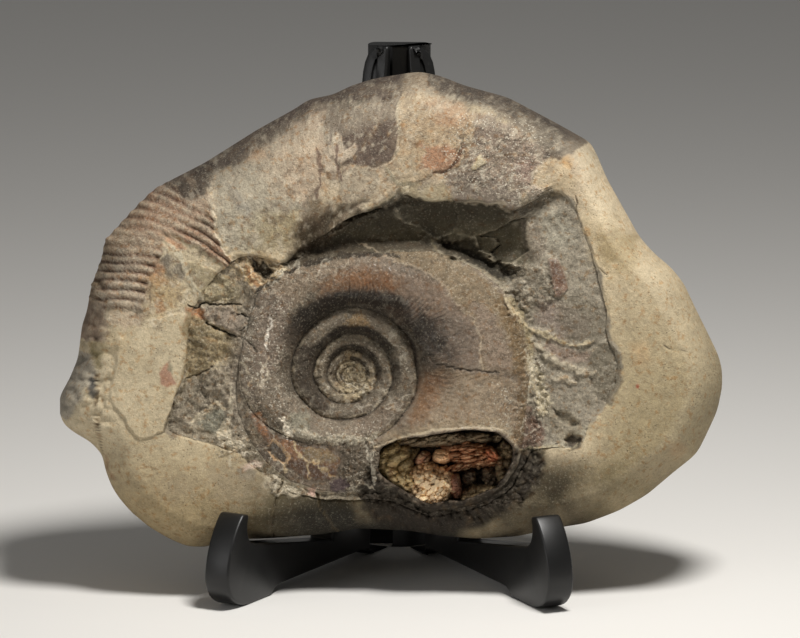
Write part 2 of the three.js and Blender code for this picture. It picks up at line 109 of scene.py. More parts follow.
CHAMBER_EDGE = [
    (-4, -41.2), (3.3, -38.4), (12.9, -37.2), (21.9, -35.7), (31.8, -36.3), (37.2, -41.1),
    (36.3, -46.8), (31.8, -53.4), (21.6, -57.3), (11.4, -58.2), (5.4, -55.2), (-1.2, -51.3),
    (-4.5, -48.6), (-3.3, -44.4),
]
CHAMBER_FLOOR = -15.0
CHAMBER_HUB = (17, -47.5)

# Heights of the face, in pairs of degrees clockwise from the top and w.
WHORL_MARGIN = [
    (0, 1.2), (45, 1.6), (90, 0.8), (115, -0.5), (150, -3.5), (180, -4), (225, -3),
    (270, -1.5), (315, 0.2),
]
GROUND_INNER = [
    (-32, -1.5), (-22, -6), (0, -9), (30, -9.5), (52, -8), (62, -2.6), (80, -2.4), (105, -3),
    (117, -1.6), (150, -4.5), (180, -5), (225, -3.6), (270, -2.2), (305, -2),
]
GROUND_OUTER = [
    (-32, -0.3), (-22, -2.6), (0, -3.5), (30, -3.5), (45.5, -3.5), (52, -0.1), (80, -0.2),
    (100, -0.9), (109, -0.9), (117, -0.9), (150, -4.6), (180, -5), (225, -3.4), (270, -1.4),
    (300, 0.3),
]
SURFACE_INNER = [
    (-32, 1.2), (-5, 2.4), (25, 1.2), (46, 0.4), (70, 0.8), (100, 0), (110, -0.8), (150, -4),
    (180, -4.6), (225, -2.6), (270, 0.4), (290, 0.8),
]
EDGE_LEVEL = [(0, -20), (60, -22), (110, -24), (180, -23), (250, -21), (300, -19)]
EDGE_ROLL = [
    (0, 15), (50, 9), (80, 11), (120, 13), (155, 18), (185, 18), (207, 11), (230, 9),
    (270, 12), (320, 17),
]


# ---- small helpers -------------------------------------------------------------------
def mix(a, b, t):
    return a + (b - a) * t


def smooth(low, high, x):
    t = np.clip((x - low) / (high - low), 0, 1)
    return t * t * (3 - 2 * t)


def bump_at(middle, width, x):
    """1 at the middle, falling smoothly to 0 a width away."""
    return 1 - smooth(0, width, np.abs(x - middle))


def turned(u, v, angle):
    """Places as seen from axes that are turned by an angle."""
    along = u * math.cos(angle) + v * math.sin(angle)
    return along, v * math.cos(angle) - u * math.sin(angle)


def dice(column, row, seed):
    """A fixed number between 0 and 1 for each square of a lattice."""
    full = 0xFFFFFFFF
    h = (column * 374761393 + row * 668265263 + seed * 974634777) & full
    h = ((h ^ (h >> 13)) * 1274126177) & full
    return ((h ^ (h >> 16)) & 0xFFFFFF) / 0xFFFFFF


def noise(u, v, size, seed=0):
    """Smooth unevenness between -1 and 1, with lumps of about a size."""
    a, b = u / size, v / size
    column, row = np.floor(a).astype(np.int64), np.floor(b).astype(np.int64)
    s, t = smooth(0, 1, a - column), smooth(0, 1, b - row)
    low = mix(dice(column, row, seed), dice(column + 1, row, seed), s)
    high = mix(dice(column, row + 1, seed), dice(column + 1, row + 1, seed), s)
    return 2 * mix(low, high, t) - 1


def fractal(u, v, size, seed=0, octaves=4):
    total, share = np.zeros_like(u), 0.0
    for octave in range(octaves):
        weight = 0.5 ** octave
        a, b = turned(u, v, -0.7 - octave)  # each octave is turned, so that no lattice shows
        total = total + weight * noise(a, b, size * weight, seed + 17 * octave)
        share += weight
    return total / share


def squares_round(a, b):
    """The squares of a lattice that points may be nearest to: their own and those round it."""
    column, row = np.floor(a).astype(np.int64), np.floor(b).astype(np.int64)
    for across in (-1, 0, 1):
        for up in (-1, 0, 1):
            yield column + across, row + up


def bowls(u, v, size, seed=0):
    """Shallow bowls that meet in sharp ridges: about 0 in the middles, 1 on the ridges."""
    a, b = u / size, v / size
    best = np.full(u.shape, 9.0)
    for c, r in squares_round(a, b):
        middle_a = c + 0.1 + 0.8 * dice(c, r, seed)
        middle_b = r + 0.1 + 0.8 * dice(c, r, seed + 1)
        raised = 0.35 * dice(c, r, seed + 2)
        best = np.minimum(best, (a - middle_a) ** 2 + (b - middle_b) ** 2 + raised)
    return best


def grains(u, v, size, seed=0):
    """Rounded grains, 1 on their tops and about 0 between them."""
    return np.clip(1 - 1.3 * bowls(u, v, size, seed), 0, 1)


def shards(u, v, size, seed, stretch=1.0, turn=0.0):
    """Sharp-edged crumbs, each a tilted flat face: height about -1 to 1, and a number each."""
    along, aside = turned(u, v, turn)
    a, b = along / (size * stretch), aside / size
    height, number = np.full(u.shape, -9.0), np.zeros(u.shape)
    for c, r in squares_round(a, b):
        middle_a, middle_b = c + dice(c, r, seed), r + dice(c, r, seed + 1)
        da, db = a - middle_a, b - middle_b
        tilt_a, tilt_b = 2 * dice(c, r, seed + 2) - 1, 2 * dice(c, r, seed + 3) - 1
        top = dice(c, r, seed + 4) - 1.6 * (da * da + db * db) + tilt_a * da + tilt_b * db
        number = np.where(top > height, dice(c, r, seed + 5), number)
        height = np.maximum(height, top)
    return height, number


def keyed(pairs):
    """A height that goes smoothly round the full turn through pairs of degrees and value."""
    pairs = sorted((math.radians(degrees) % FULL_TURN, value) for degrees, value in pairs)
    keys, values = np.array(pairs).T

    def height(angle):
        a = angle % FULL_TURN
        after = np.searchsorted(keys, a, side="right") % len(keys)
        before = after - 1
        span = (keys[after] - keys[before]) % FULL_TURN
        share = ((a - keys[before]) % FULL_TURN) / span
        return mix(values[before], values[after], smooth(0, 1, share))

    return height


def outline(points, hub, rounding=1.2, ragged=0.0, size=3.0, seed=0):
    """Distance from a hub to a closed outline, by angle. Corners are rounded over some
    degrees, and a ragged edge wanders in and out by that many millimetres."""
    steps = 2880
    angle = np.arange(steps) * FULL_TURN / steps
    p = np.array(points, float) - hub
    q = np.roll(p, -1, axis=0)
    radius = np.zeros(steps)
    for (pu, pv), (qu, qv) in zip(p, q):
        du, dv = qu - pu, qv - pv
        start = math.atan2(pu, pv) % FULL_TURN
        span = (math.atan2(qu, qv) - start) % FULL_TURN
        hit = (angle - start) % FULL_TURN <= span
        if span < math.pi:
            a = angle[hit]
            radius[hit] = (pu * dv - pv * du) / (np.sin(a) * dv - np.cos(a) * du)
    window = np.arange(-60, 61) * (360 / steps)
    weights = np.exp(-0.5 * (window / max(rounding, 0.01)) ** 2)
    around = np.concatenate([radius[-60:], radius, radius[:60]])
    radius = np.convolve(around, weights / weights.sum(), "valid")
    if ragged:
        u, v = radius * np.sin(angle), radius * np.cos(angle)
        radius = radius + ragged * fractal(u, v, size, seed)
    return lambda a: np.interp(a, angle, radius, period=FULL_TURN)


def around_hub(u, v):
    du, dv = u - HUB[0], v - HUB[1]
    return np.hypot(du, dv), np.arctan2(du, dv) % FULL_TURN


def angle_off(angle):
    """An angle between minus and plus half a turn."""
    return (angle + math.pi) % FULL_TURN - math.pi


def face_point(radius, angle):
    return HUB[0] + radius * np.sin(angle), HUB[1] + radius * np.cos(angle)


def to_row_frame(u, v, w):
    """Points of the stone in metres, standing in the easel."""
    x = u + FACE_MIDDLE[0]
    y = v * math.sin(LEAN) - w * math.cos(LEAN) + FACE_MIDDLE[1]
    z = v * math.cos(LEAN) + w * math.sin(LEAN) + FACE_MIDDLE[2]
    return np.stack([x, y, z], -1) * MM


stone_edge = outline(STONE_EDGE, HUB, 0.9)
coil_edge = outline(COIL_EDGE, HUB, 1.5, 0.35, 3.0, 5)
ground_edge = outline(GROUND_EDGE, HUB, 1.0, 0.7, 3.5, 9)
chamber_edge = outline(CHAMBER_EDGE, CHAMBER_HUB, 4.0, 0.45, 2.5, 3)
whorl_margin = keyed(WHORL_MARGIN)
ground_inner = keyed(GROUND_INNER)
ground_outer = keyed(GROUND_OUTER)
surface_inner = keyed(SURFACE_INNER)
edge_level = keyed(EDGE_LEVEL)
edge_roll = keyed(EDGE_ROLL)
squeeze = keyed([(45 * i, value) for i, value in enumerate(SQUEEZE)])


# ---- what is drawn on the face -------------------------------------------------------
# Outlines and lines that come back in more than one of the lists below.
DARK_SHELL = [
    (-19.2, 61.8), (-14.7, 63), (-1.5, 63), (2.1, 61.8), (2.1, 53.1), (1.5, 48), (-0.6, 44.7),
    (-5.1, 43.2), (-8.7, 43.5), (-12, 44.1), (-15, 43.2), (-17.1, 45), (-19.2, 48), (-19.8, 54),
]
PALE_FLAKE = [
    (-17.1, 53.1), (-15.3, 52.2), (-14.1, 48), (-11.1, 49.8), (-10.2, 48.9), (-11.7, 45.9),
    (-14.4, 44.1), (-16.2, 42), (-17.1, 38.1), (-18.3, 39.3), (-20.4, 42), (-20.7, 48.6),
    (-18, 49.2),
]
PALE_PATCH = [
    (-14.4, 42), (-10.5, 43.8), (-3.9, 42.9), (-3.6, 39.9), (-5.1, 35.4), (-7.8, 31.5),
    (-11.7, 28.8), (-14.4, 30), (-15.9, 35.4), (-15.3, 39.3),
]
CREAM_PATCH = [
    (2.1, 61.8), (3.9, 64.5), (9.3, 65.4), (15.9, 64.5), (21.3, 62.4), (23.1, 60), (25.8, 57.9),
    (25.2, 53.1), (23.7, 49.8), (22.5, 45.9), (19.8, 43.2), (15.9, 42), (10.5, 39.9), (6.6, 38.1),
    (2.7, 37.2), (0.6, 39.3), (-1.2, 43.2), (1.2, 46.5), (2.7, 49.8),
]
CREAM_FLAKE = [
    (16.5, 65.1), (21.3, 64.2), (24.9, 61.8), (29.1, 61.2), (33.3, 59.7), (37.5, 56.7),
    (36.9, 54.6), (32.7, 56.7), (29.1, 58.5), (24.9, 59.1), (20.7, 62.1), (16.5, 63.6),
]
PALE_CHIP = [(24.3, 42.6), (27, 46.8), (28.2, 44.1), (25.2, 41.7)]
SHELL_PLATE = [
    (-57.3, 0.9), (-49.5, 1.5), (-42.9, -2.4), (-41.7, -4.2), (-45.6, -7.5), (-50.7, -5.1),
    (-55.2, -3.3),
]
LOOSE_FRAGMENT = [
    (47.1, 15.3), (50.1, 15.3), (52.2, 10.8), (53.1, 6.6), (50.7, 3.6), (49.2, 3.9), (48, 9.6),
]
DARK_LOBE = [
    (59.7, -12.6), (62.7, -9.6), (66.3, -9.3), (69.3, -12.6), (69.3, -21), (65.7, -28.2),
    (61.5, -24.6), (59.7, -18),
]
CALCITE_CHAMBERS = [
    (-42.6, -30.3), (-40.8, -34.8), (-37.8, -39), (-34.2, -44.1), (-29.7, -47.7), (-25.5, -50.4),
    (-21.6, -51), (-17.4, -50.4), (-15.3, -47.1), (-15.3, -44.1), (-18.6, -41.7), (-23.4, -40.5),
    (-26.7, -41.1), (-29.7, -39), (-34.2, -37.8), (-36.6, -36.6), (-39, -32.4), (-41.4, -30.3),
]
LEFT_HOLE = [
    (-42, 15.9), (-40.2, 14.7), (-36.9, 13.5), (-35.4, 11.7), (-36.9, 9.6), (-38.4, 10.2),
    (-40.2, 11.1), (-41.4, 12.9),
]
RIGHT_PIT = [(52.2, -38.7), (54.3, -37.2), (57.3, -38.7), (56.4, -41.7), (54.3, -42.3)]
BROKEN_CHAMBER = [
    (-36.6, -42.3), (-35.1, -44.7), (-31.5, -45.9), (-30.9, -44.1), (-32.7, -41.1), (-35.4, -39.3),
]
WORN_CENTRE = [
    (-15.3, -16.2), (-12.3, -15), (-8.7, -15.9), (-6.6, -19.2), (-7.5, -23.4), (-9.9, -26.4),
    (-13.5, -26.4), (-15.3, -23.4), (-13.8, -20.4),
]
LOWER_FLANK = [(9.9, -19.2), (38.7, -21), (38.7, -35.4), (6.3, -36)]
COIL_CRACK = [
    (11.1, -14.4), (13.8, -16.2), (18.6, -17.4), (23.7, -18.3), (28.5, -18.6), (32.4, -18.6),
]
LOWER_CRACK = [(-32.1, -49.2), (-33.3, -53.4), (-34.8, -57), (-35.7, -63), (-36, -69.3)]
SECOND_CRACK = [(-22.2, -54.6), (-21, -59.1), (-19.2, -63), (-17.1, -66), (-14.1, -69.3)]
RIM_CRACK = [
    (-88.2, -18.9), (-87.9, -24), (-88.8, -29.4), (-87.9, -34.2), (-87.6, -39), (-87, -43.8),
]
UPPER_VEIN = [(34.2, 4.5), (36.9, -0.6), (41.4, -5.7), (47.1, -7.8), (54.3, -10.8), (60, -9.3)]
MIDDLE_VEIN = [(42, -8.4), (47.1, -13.5), (54.3, -18), (60.9, -18.9)]
SHORT_VEIN = [(48.6, -20.7), (51.3, -20.1), (55.2, -22.2)]
COIL_SEAM = [
    (-10.5, 20.4), (-6.3, 18.6), (-1.2, 15.9), (5.1, 13.5), (9.9, 11.7), (15, 8.7), (18, 4.8),
    (20.4, 1.8), (24.3, -2.4), (26.1, -6.3), (27, -9.6),
]
WHITE_VEIN = [(-36.6, -1.8), (-35.7, -5.1), (-37.2, -8.1), (-37.2, -11.4)]
LEFT_VEIN = [(-60.3, -35.4), (-58.5, -32.4), (-55.5, -30), (-52.5, -27.9), (-50.1, -30)]
SHELL_RIM = [(-23.7, 61.2), (-17.1, 62.4), (-12.3, 62.7), (-7.8, 63)]
PLATE_VEIN = [(-66.9, 19.8), (-64.8, 18.9), (-63, 15.6), (-61.5, 11.1), (-59.7, 7.5), (-56.7, 3)]
GOUGE_VEIN = [(0.9, 34.8), (-3.3, 31.8), (-6.3, 30.3)]

# The gouge, and its flat flakes: a point on each, its height there, and its slopes.
GOUGE = [
    (-32.1, 14.4), (-27.3, 18), (-21.9, 21.3), (-16.8, 24.9), (-11.7, 28.2), (-5.7, 30.3),
    (-0.3, 34.2), (2.7, 36.6), (6.6, 34.8), (12, 33.6), (19.8, 33.6), (26.7, 33), (31.8, 32.7),
    (36.3, 29.4), (39.9, 27), (42.3, 21), (42.3, 14.4), (37.5, 10.2), (32.7, 7.8), (23.7, 14.4),
    (2.7, 17.4), (-18.3, 14.4),
]
GOUGE_FLAKES = [
    (2, 26, -5.6, 0.05, 0.5), (24, 28, -4.6, -0.12, 0.62), (37, 19, -7, 0.55, 0.3),
    (27, 15, -9.5, 0.3, -0.25), (-22, 18, -5.2, -0.3, 0.2), (8, 18, -9.2, 0.02, -0.12),
]

# The ribbed shell at the left: rib spacing, and how the ribs droop towards the coil.
RIBBED_SHELL = [
    (-93.3, 12.6), (-90.6, 16.5), (-87.3, 21), (-84.3, 24.6), (-81.3, 28.5), (-77.7, 32.1),
    (-75, 34.8), (-72.6, 36.9), (-68.7, 39), (-65.4, 38.4), (-62.1, 33.9), (-59.7, 33),
    (-57.6, 33.9), (-54.9, 35.1), (-53.1, 31.8), (-52.5, 26.7), (-51.9, 23.4), (-50.7, 19.5),
    (-48.9, 16.2), (-46.8, 14.4), (-48.9, 13.5), (-52.2, 14.4), (-55.2, 16.2), (-58.5, 18.9),
    (-62.1, 21), (-65.4, 22.8), (-67.8, 22.2), (-68.7, 20.4), (-68.4, 19.2), (-70.2, 14.4),
    (-72, 9.9), (-73.5, 6.6), (-74.1, 3.3), (-74.7, 0), (-77.7, 0.3), (-82.2, 0.3), (-86.7, 0.9),
    (-90, 3.6), (-92.1, 3), (-94.5, 6),
]
RIB_SPACING = 2.8
RIB_START = -77.0  # u where the ribs begin to droop
RIB_DROOP = (0.14, 0.0117)  # share of the way along, and of its square

# Thin layers that stand up from what is round them: outline, height, softness, raggedness.
LAYERS = [
    (RIBBED_SHELL, 0.55, 0.25, 1.2),
    # the dark shell at the top, the pale flake and the pale patch on it
    (DARK_SHELL, 0.35, 0.2, 0.8),
    (PALE_FLAKE, 0.3, 0.15, 0.6),
    (PALE_PATCH, 0.3, 0.3, 1),
    # the cream patch right of it, and the flake along its upper edge
    (CREAM_PATCH, 0.45, 0.2, 1.5),
    (CREAM_FLAKE, 0.4, 0.2, 0.8),
    (PALE_CHIP, 0.6, 0.2, 0.6),
    # the plates of shell between the ribbed shell and the coil
    (SHELL_PLATE, 0.7, 0.2, 0.6),
    ([(-61.5, 14.4), (-54, 12.3), (-46.8, 9.3), (-45.6, 4.2), (-49.5, 2.7), (-55.2, 2.7),
      (-59.7, 7.2)], 0.35, 0.3, 0.8),
    # the rind's broken edge at the left
    ([(-62.1, -0.6), (-60.6, -6), (-61.5, -10.8), (-61.5, -15.6), (-63.3, -22.8), (-65.7, -28.2),
      (-67.5, -36.6), (-75.3, -39), (-84.3, -27), (-81.3, -9), (-72.3, -3)], 0.7, 0.3, 0.9),
    # the loose fragment and the darker lobe on the right ledge
    (LOOSE_FRAGMENT, 0.9, 0.25, 0.3),
    (DARK_LOBE, 0.5, 0.4, 0.8),
    # the calcite chambers below the coil
    (CALCITE_CHAMBERS, 0.35, 0.3, 0.5),
    # the thin rim of shell over the open chamber
    ([(-5.1, -41.1), (3.3, -38.1), (12.9, -36), (21.9, -35.1), (31.8, -35.4), (35.1, -37.2),
      (38.1, -40.8), (36.9, -42.6), (34.2, -39.9), (31.8, -37.8), (27, -36.9), (17.7, -37.5),
      (8.1, -38.4), (-1.8, -41.7)], 0.6, 0.2, 0.3),
]

# Hollows: outline, depth, softness, raggedness.
HOLLOWS = [
    ([(-28.5, 14.4), (-27.9, 20.4), (-21.9, 27), (-13.8, 31.5), (-8.1, 33.6), (-10.5, 28.8),
      (-17.7, 23.4), (-23.1, 15.6)], 1.3, 1.6, 2.2),
    ([(14.7, 21.6), (23.7, 18.3), (32.7, 14.4), (39.3, 10.2), (34.5, 8.4), (26.7, 12.3),
      (18.3, 16.5)], 1.2, 0.8, 1.4),
    # flat flakes struck off in the gouge
    ([(37.8, 27.9), (40.8, 27.6), (40.2, 22.2), (41.4, 18), (36.3, 14.4), (32.1, 14.4),
      (29.7, 17.4), (32.7, 19.8), (31.5, 21.6), (26.1, 22.2), (32.7, 24.6)], 1.6, 0.15, 0.3),
    ([(25.5, 22.2), (31.8, 21.6), (32.7, 19.5), (30.3, 16.8), (26.7, 18)], 0.9, 0.15, 0.3),
    ([(2.1, 34.2), (8.7, 33), (13.5, 31.8), (18.3, 32.1), (20.1, 28.8), (18.3, 23.4), (13.5, 21.6),
      (8.7, 25.2), (3.9, 26.4), (1.5, 31.2)], 0.7, 0.3, 0.3),
    ([(-18.3, 22.2), (-9.3, 25.8), (0.3, 28.2), (5.7, 25.2), (8.7, 21), (0.3, 19.2), (-11.7, 18),
      (-20.7, 18)], 0.6, 0.6, 0.4),
    ([(14.7, 20.4), (23.7, 21), (28.5, 16.2), (32.7, 13.8), (38.7, 12.6), (40.5, 10.2), (35.7, 9),
      (29.1, 11.4), (22.5, 14.4), (16.5, 16.2)], 1.8, 0.7, 1.2),
    (LEFT_HOLE, 2.4, 0.7, 1),
    (RIGHT_PIT, 2.2, 0.6, 0.6),
    ([(49.2, -30), (53.7, -31.5), (56.7, -34.5), (54.3, -35.4), (50.7, -33)], 1.6, 0.5, 0.6),
    (BROKEN_CHAMBER, 0.5, 0.4, 0.3),
    ([(-92.1, 7.2), (-89.7, 6.9), (-89.7, 4.5), (-91.8, 4.8)], 1.4, 0.5, 0.5),
    ([(-90.6, -21), (-89.1, -20.7), (-88.8, -25.8), (-89.7, -26.7), (-90.6, -24)], 0.8, 0.5, 0.4),
    ([(32.7, 6), (36.9, 1.2), (39.9, -6.6), (41.7, -14.4), (41.1, -24.6), (40.5, -34.2),
      (44.7, -36), (47.1, -30.6), (44.7, -21), (43.5, -12), (41.7, -2.4),
      (36.9, 5.4)], 1.3, 1.2, 1.4),
]

# Cracks: line, width, depth.
CRACKS = [
    ([(-60.9, 1.2), (-57.9, 0.6), (-56.1, 2.4), (-53.1, 1.5), (-48.6, 1.5),
      (-45.3, 1.8)], 0.55, 1.1),
    ([(-55.2, -3.6), (-51.9, -5.7), (-48.6, -6.9), (-46.5, -7.8)], 0.8, 1.4),
    ([(-46.2, -1.8), (-44.1, -1.2), (-42.3, -2.4), (-42.6, -4.5), (-44.7, -6)], 0.5, 0.9),
    ([(-45.3, -7.8), (-42.3, -10.5), (-39.9, -12.6)], 0.5, 0.5),
    ([(-61.5, -20.4), (-57.9, -19.2), (-53.7, -17.4)], 0.7, 0.8),
    ([(-41.7, 4.2), (-39, 6.3), (-32.7, 10.2), (-27.3, 12.6), (-20.7, 14.7), (-12.3, 15.9),
      (-3.9, 16.5)], 0.6, 0.4),
    (COIL_CRACK, 0.45, 0.35),
    ([(11.8, 41), (16, 41.5), (19, 43.8), (20.2, 47), (21.2, 50.3)], 0.4, 0.4),
    ([(-28.5, 60.3), (-24.3, 61.2), (-18.3, 62.1), (-8.7, 62.7), (2.1, 63.9),
      (3.9, 63.6)], 0.35, 0.35),
    (LOWER_CRACK, 0.5, 0.6),
    (SECOND_CRACK, 0.6, 0.7),
    (RIM_CRACK, 0.7, 0.6),
    ([(49.8, 47.4), (52.5, 45.6), (54.3, 42.6)], 0.3, 0.2),
    ([(55.2, 34.2), (55.8, 31.2), (55.5, 28.8)], 0.5, 0.4),
    ([(62.1, 12.6), (63.3, 11.4), (64.5, 10.8)], 0.4, 0.3),
    ([(81.6, -10.8), (84.9, -12.3), (89.1, -12.6)], 0.3, 0.25),
    ([(-71.7, 32.1), (-69.3, 33.3), (-66.3, 32.4)], 0.5, 0.4),
    ([(0.3, -52.8), (2.1, -55.2), (3.9, -57)], 0.4, 0.3),
]

# Ridges and veins that stand up: line, width, height.
RIDGES = [
    (UPPER_VEIN, 1.8, 1),
    (MIDDLE_VEIN, 2, 1.1),
    (SHORT_VEIN, 1.8, 0.9),
    ([(44.7, 28.2), (49.5, 28.8), (52.5, 30.6)], 1.2, 0.5),
    (COIL_SEAM, 0.4, 0.2),
    (WHITE_VEIN, 0.6, 0.25),
    ([(-30.9, -37.2), (-24.9, -36.9), (-18.6, -38.1), (-11.1, -39.3), (-4.8, -39.6)], 2, 0.5),
    ([(-48, -22.8), (-48.3, -30.6), (-49.5, -35.4), (-48.3, -42.6)], 1.6, 0.5),
    (LEFT_VEIN, 0.9, 0.5),
    ([(38.4, -41.1), (45.6, -40.8), (50.7, -41.1), (53.7, -42.3), (57.3, -39.6)], 0.7, 0.4),
    (SHELL_RIM, 0.7, 0.35),
    (PLATE_VEIN, 1, 0.4),
    ([(40.5, -53.1), (42.3, -53.7), (43.8, -54.6)], 1.8, 0.5),
    ([(19.8, 22.2), (25.8, 21.6), (31.8, 22.2), (39.6, 27)], 0.9, 0.5),
    ([(25.8, 21.6), (27, 16.2), (29.7, 13.5)], 0.7, 0.5),
    ([(31.8, 22.2), (30.9, 17.4), (29.7, 13.5)], 0.7, 0.5),
    (GOUGE_VEIN, 0.9, 0.3),
]
GROWTH_LINES = 150  # round one turn of a whorl

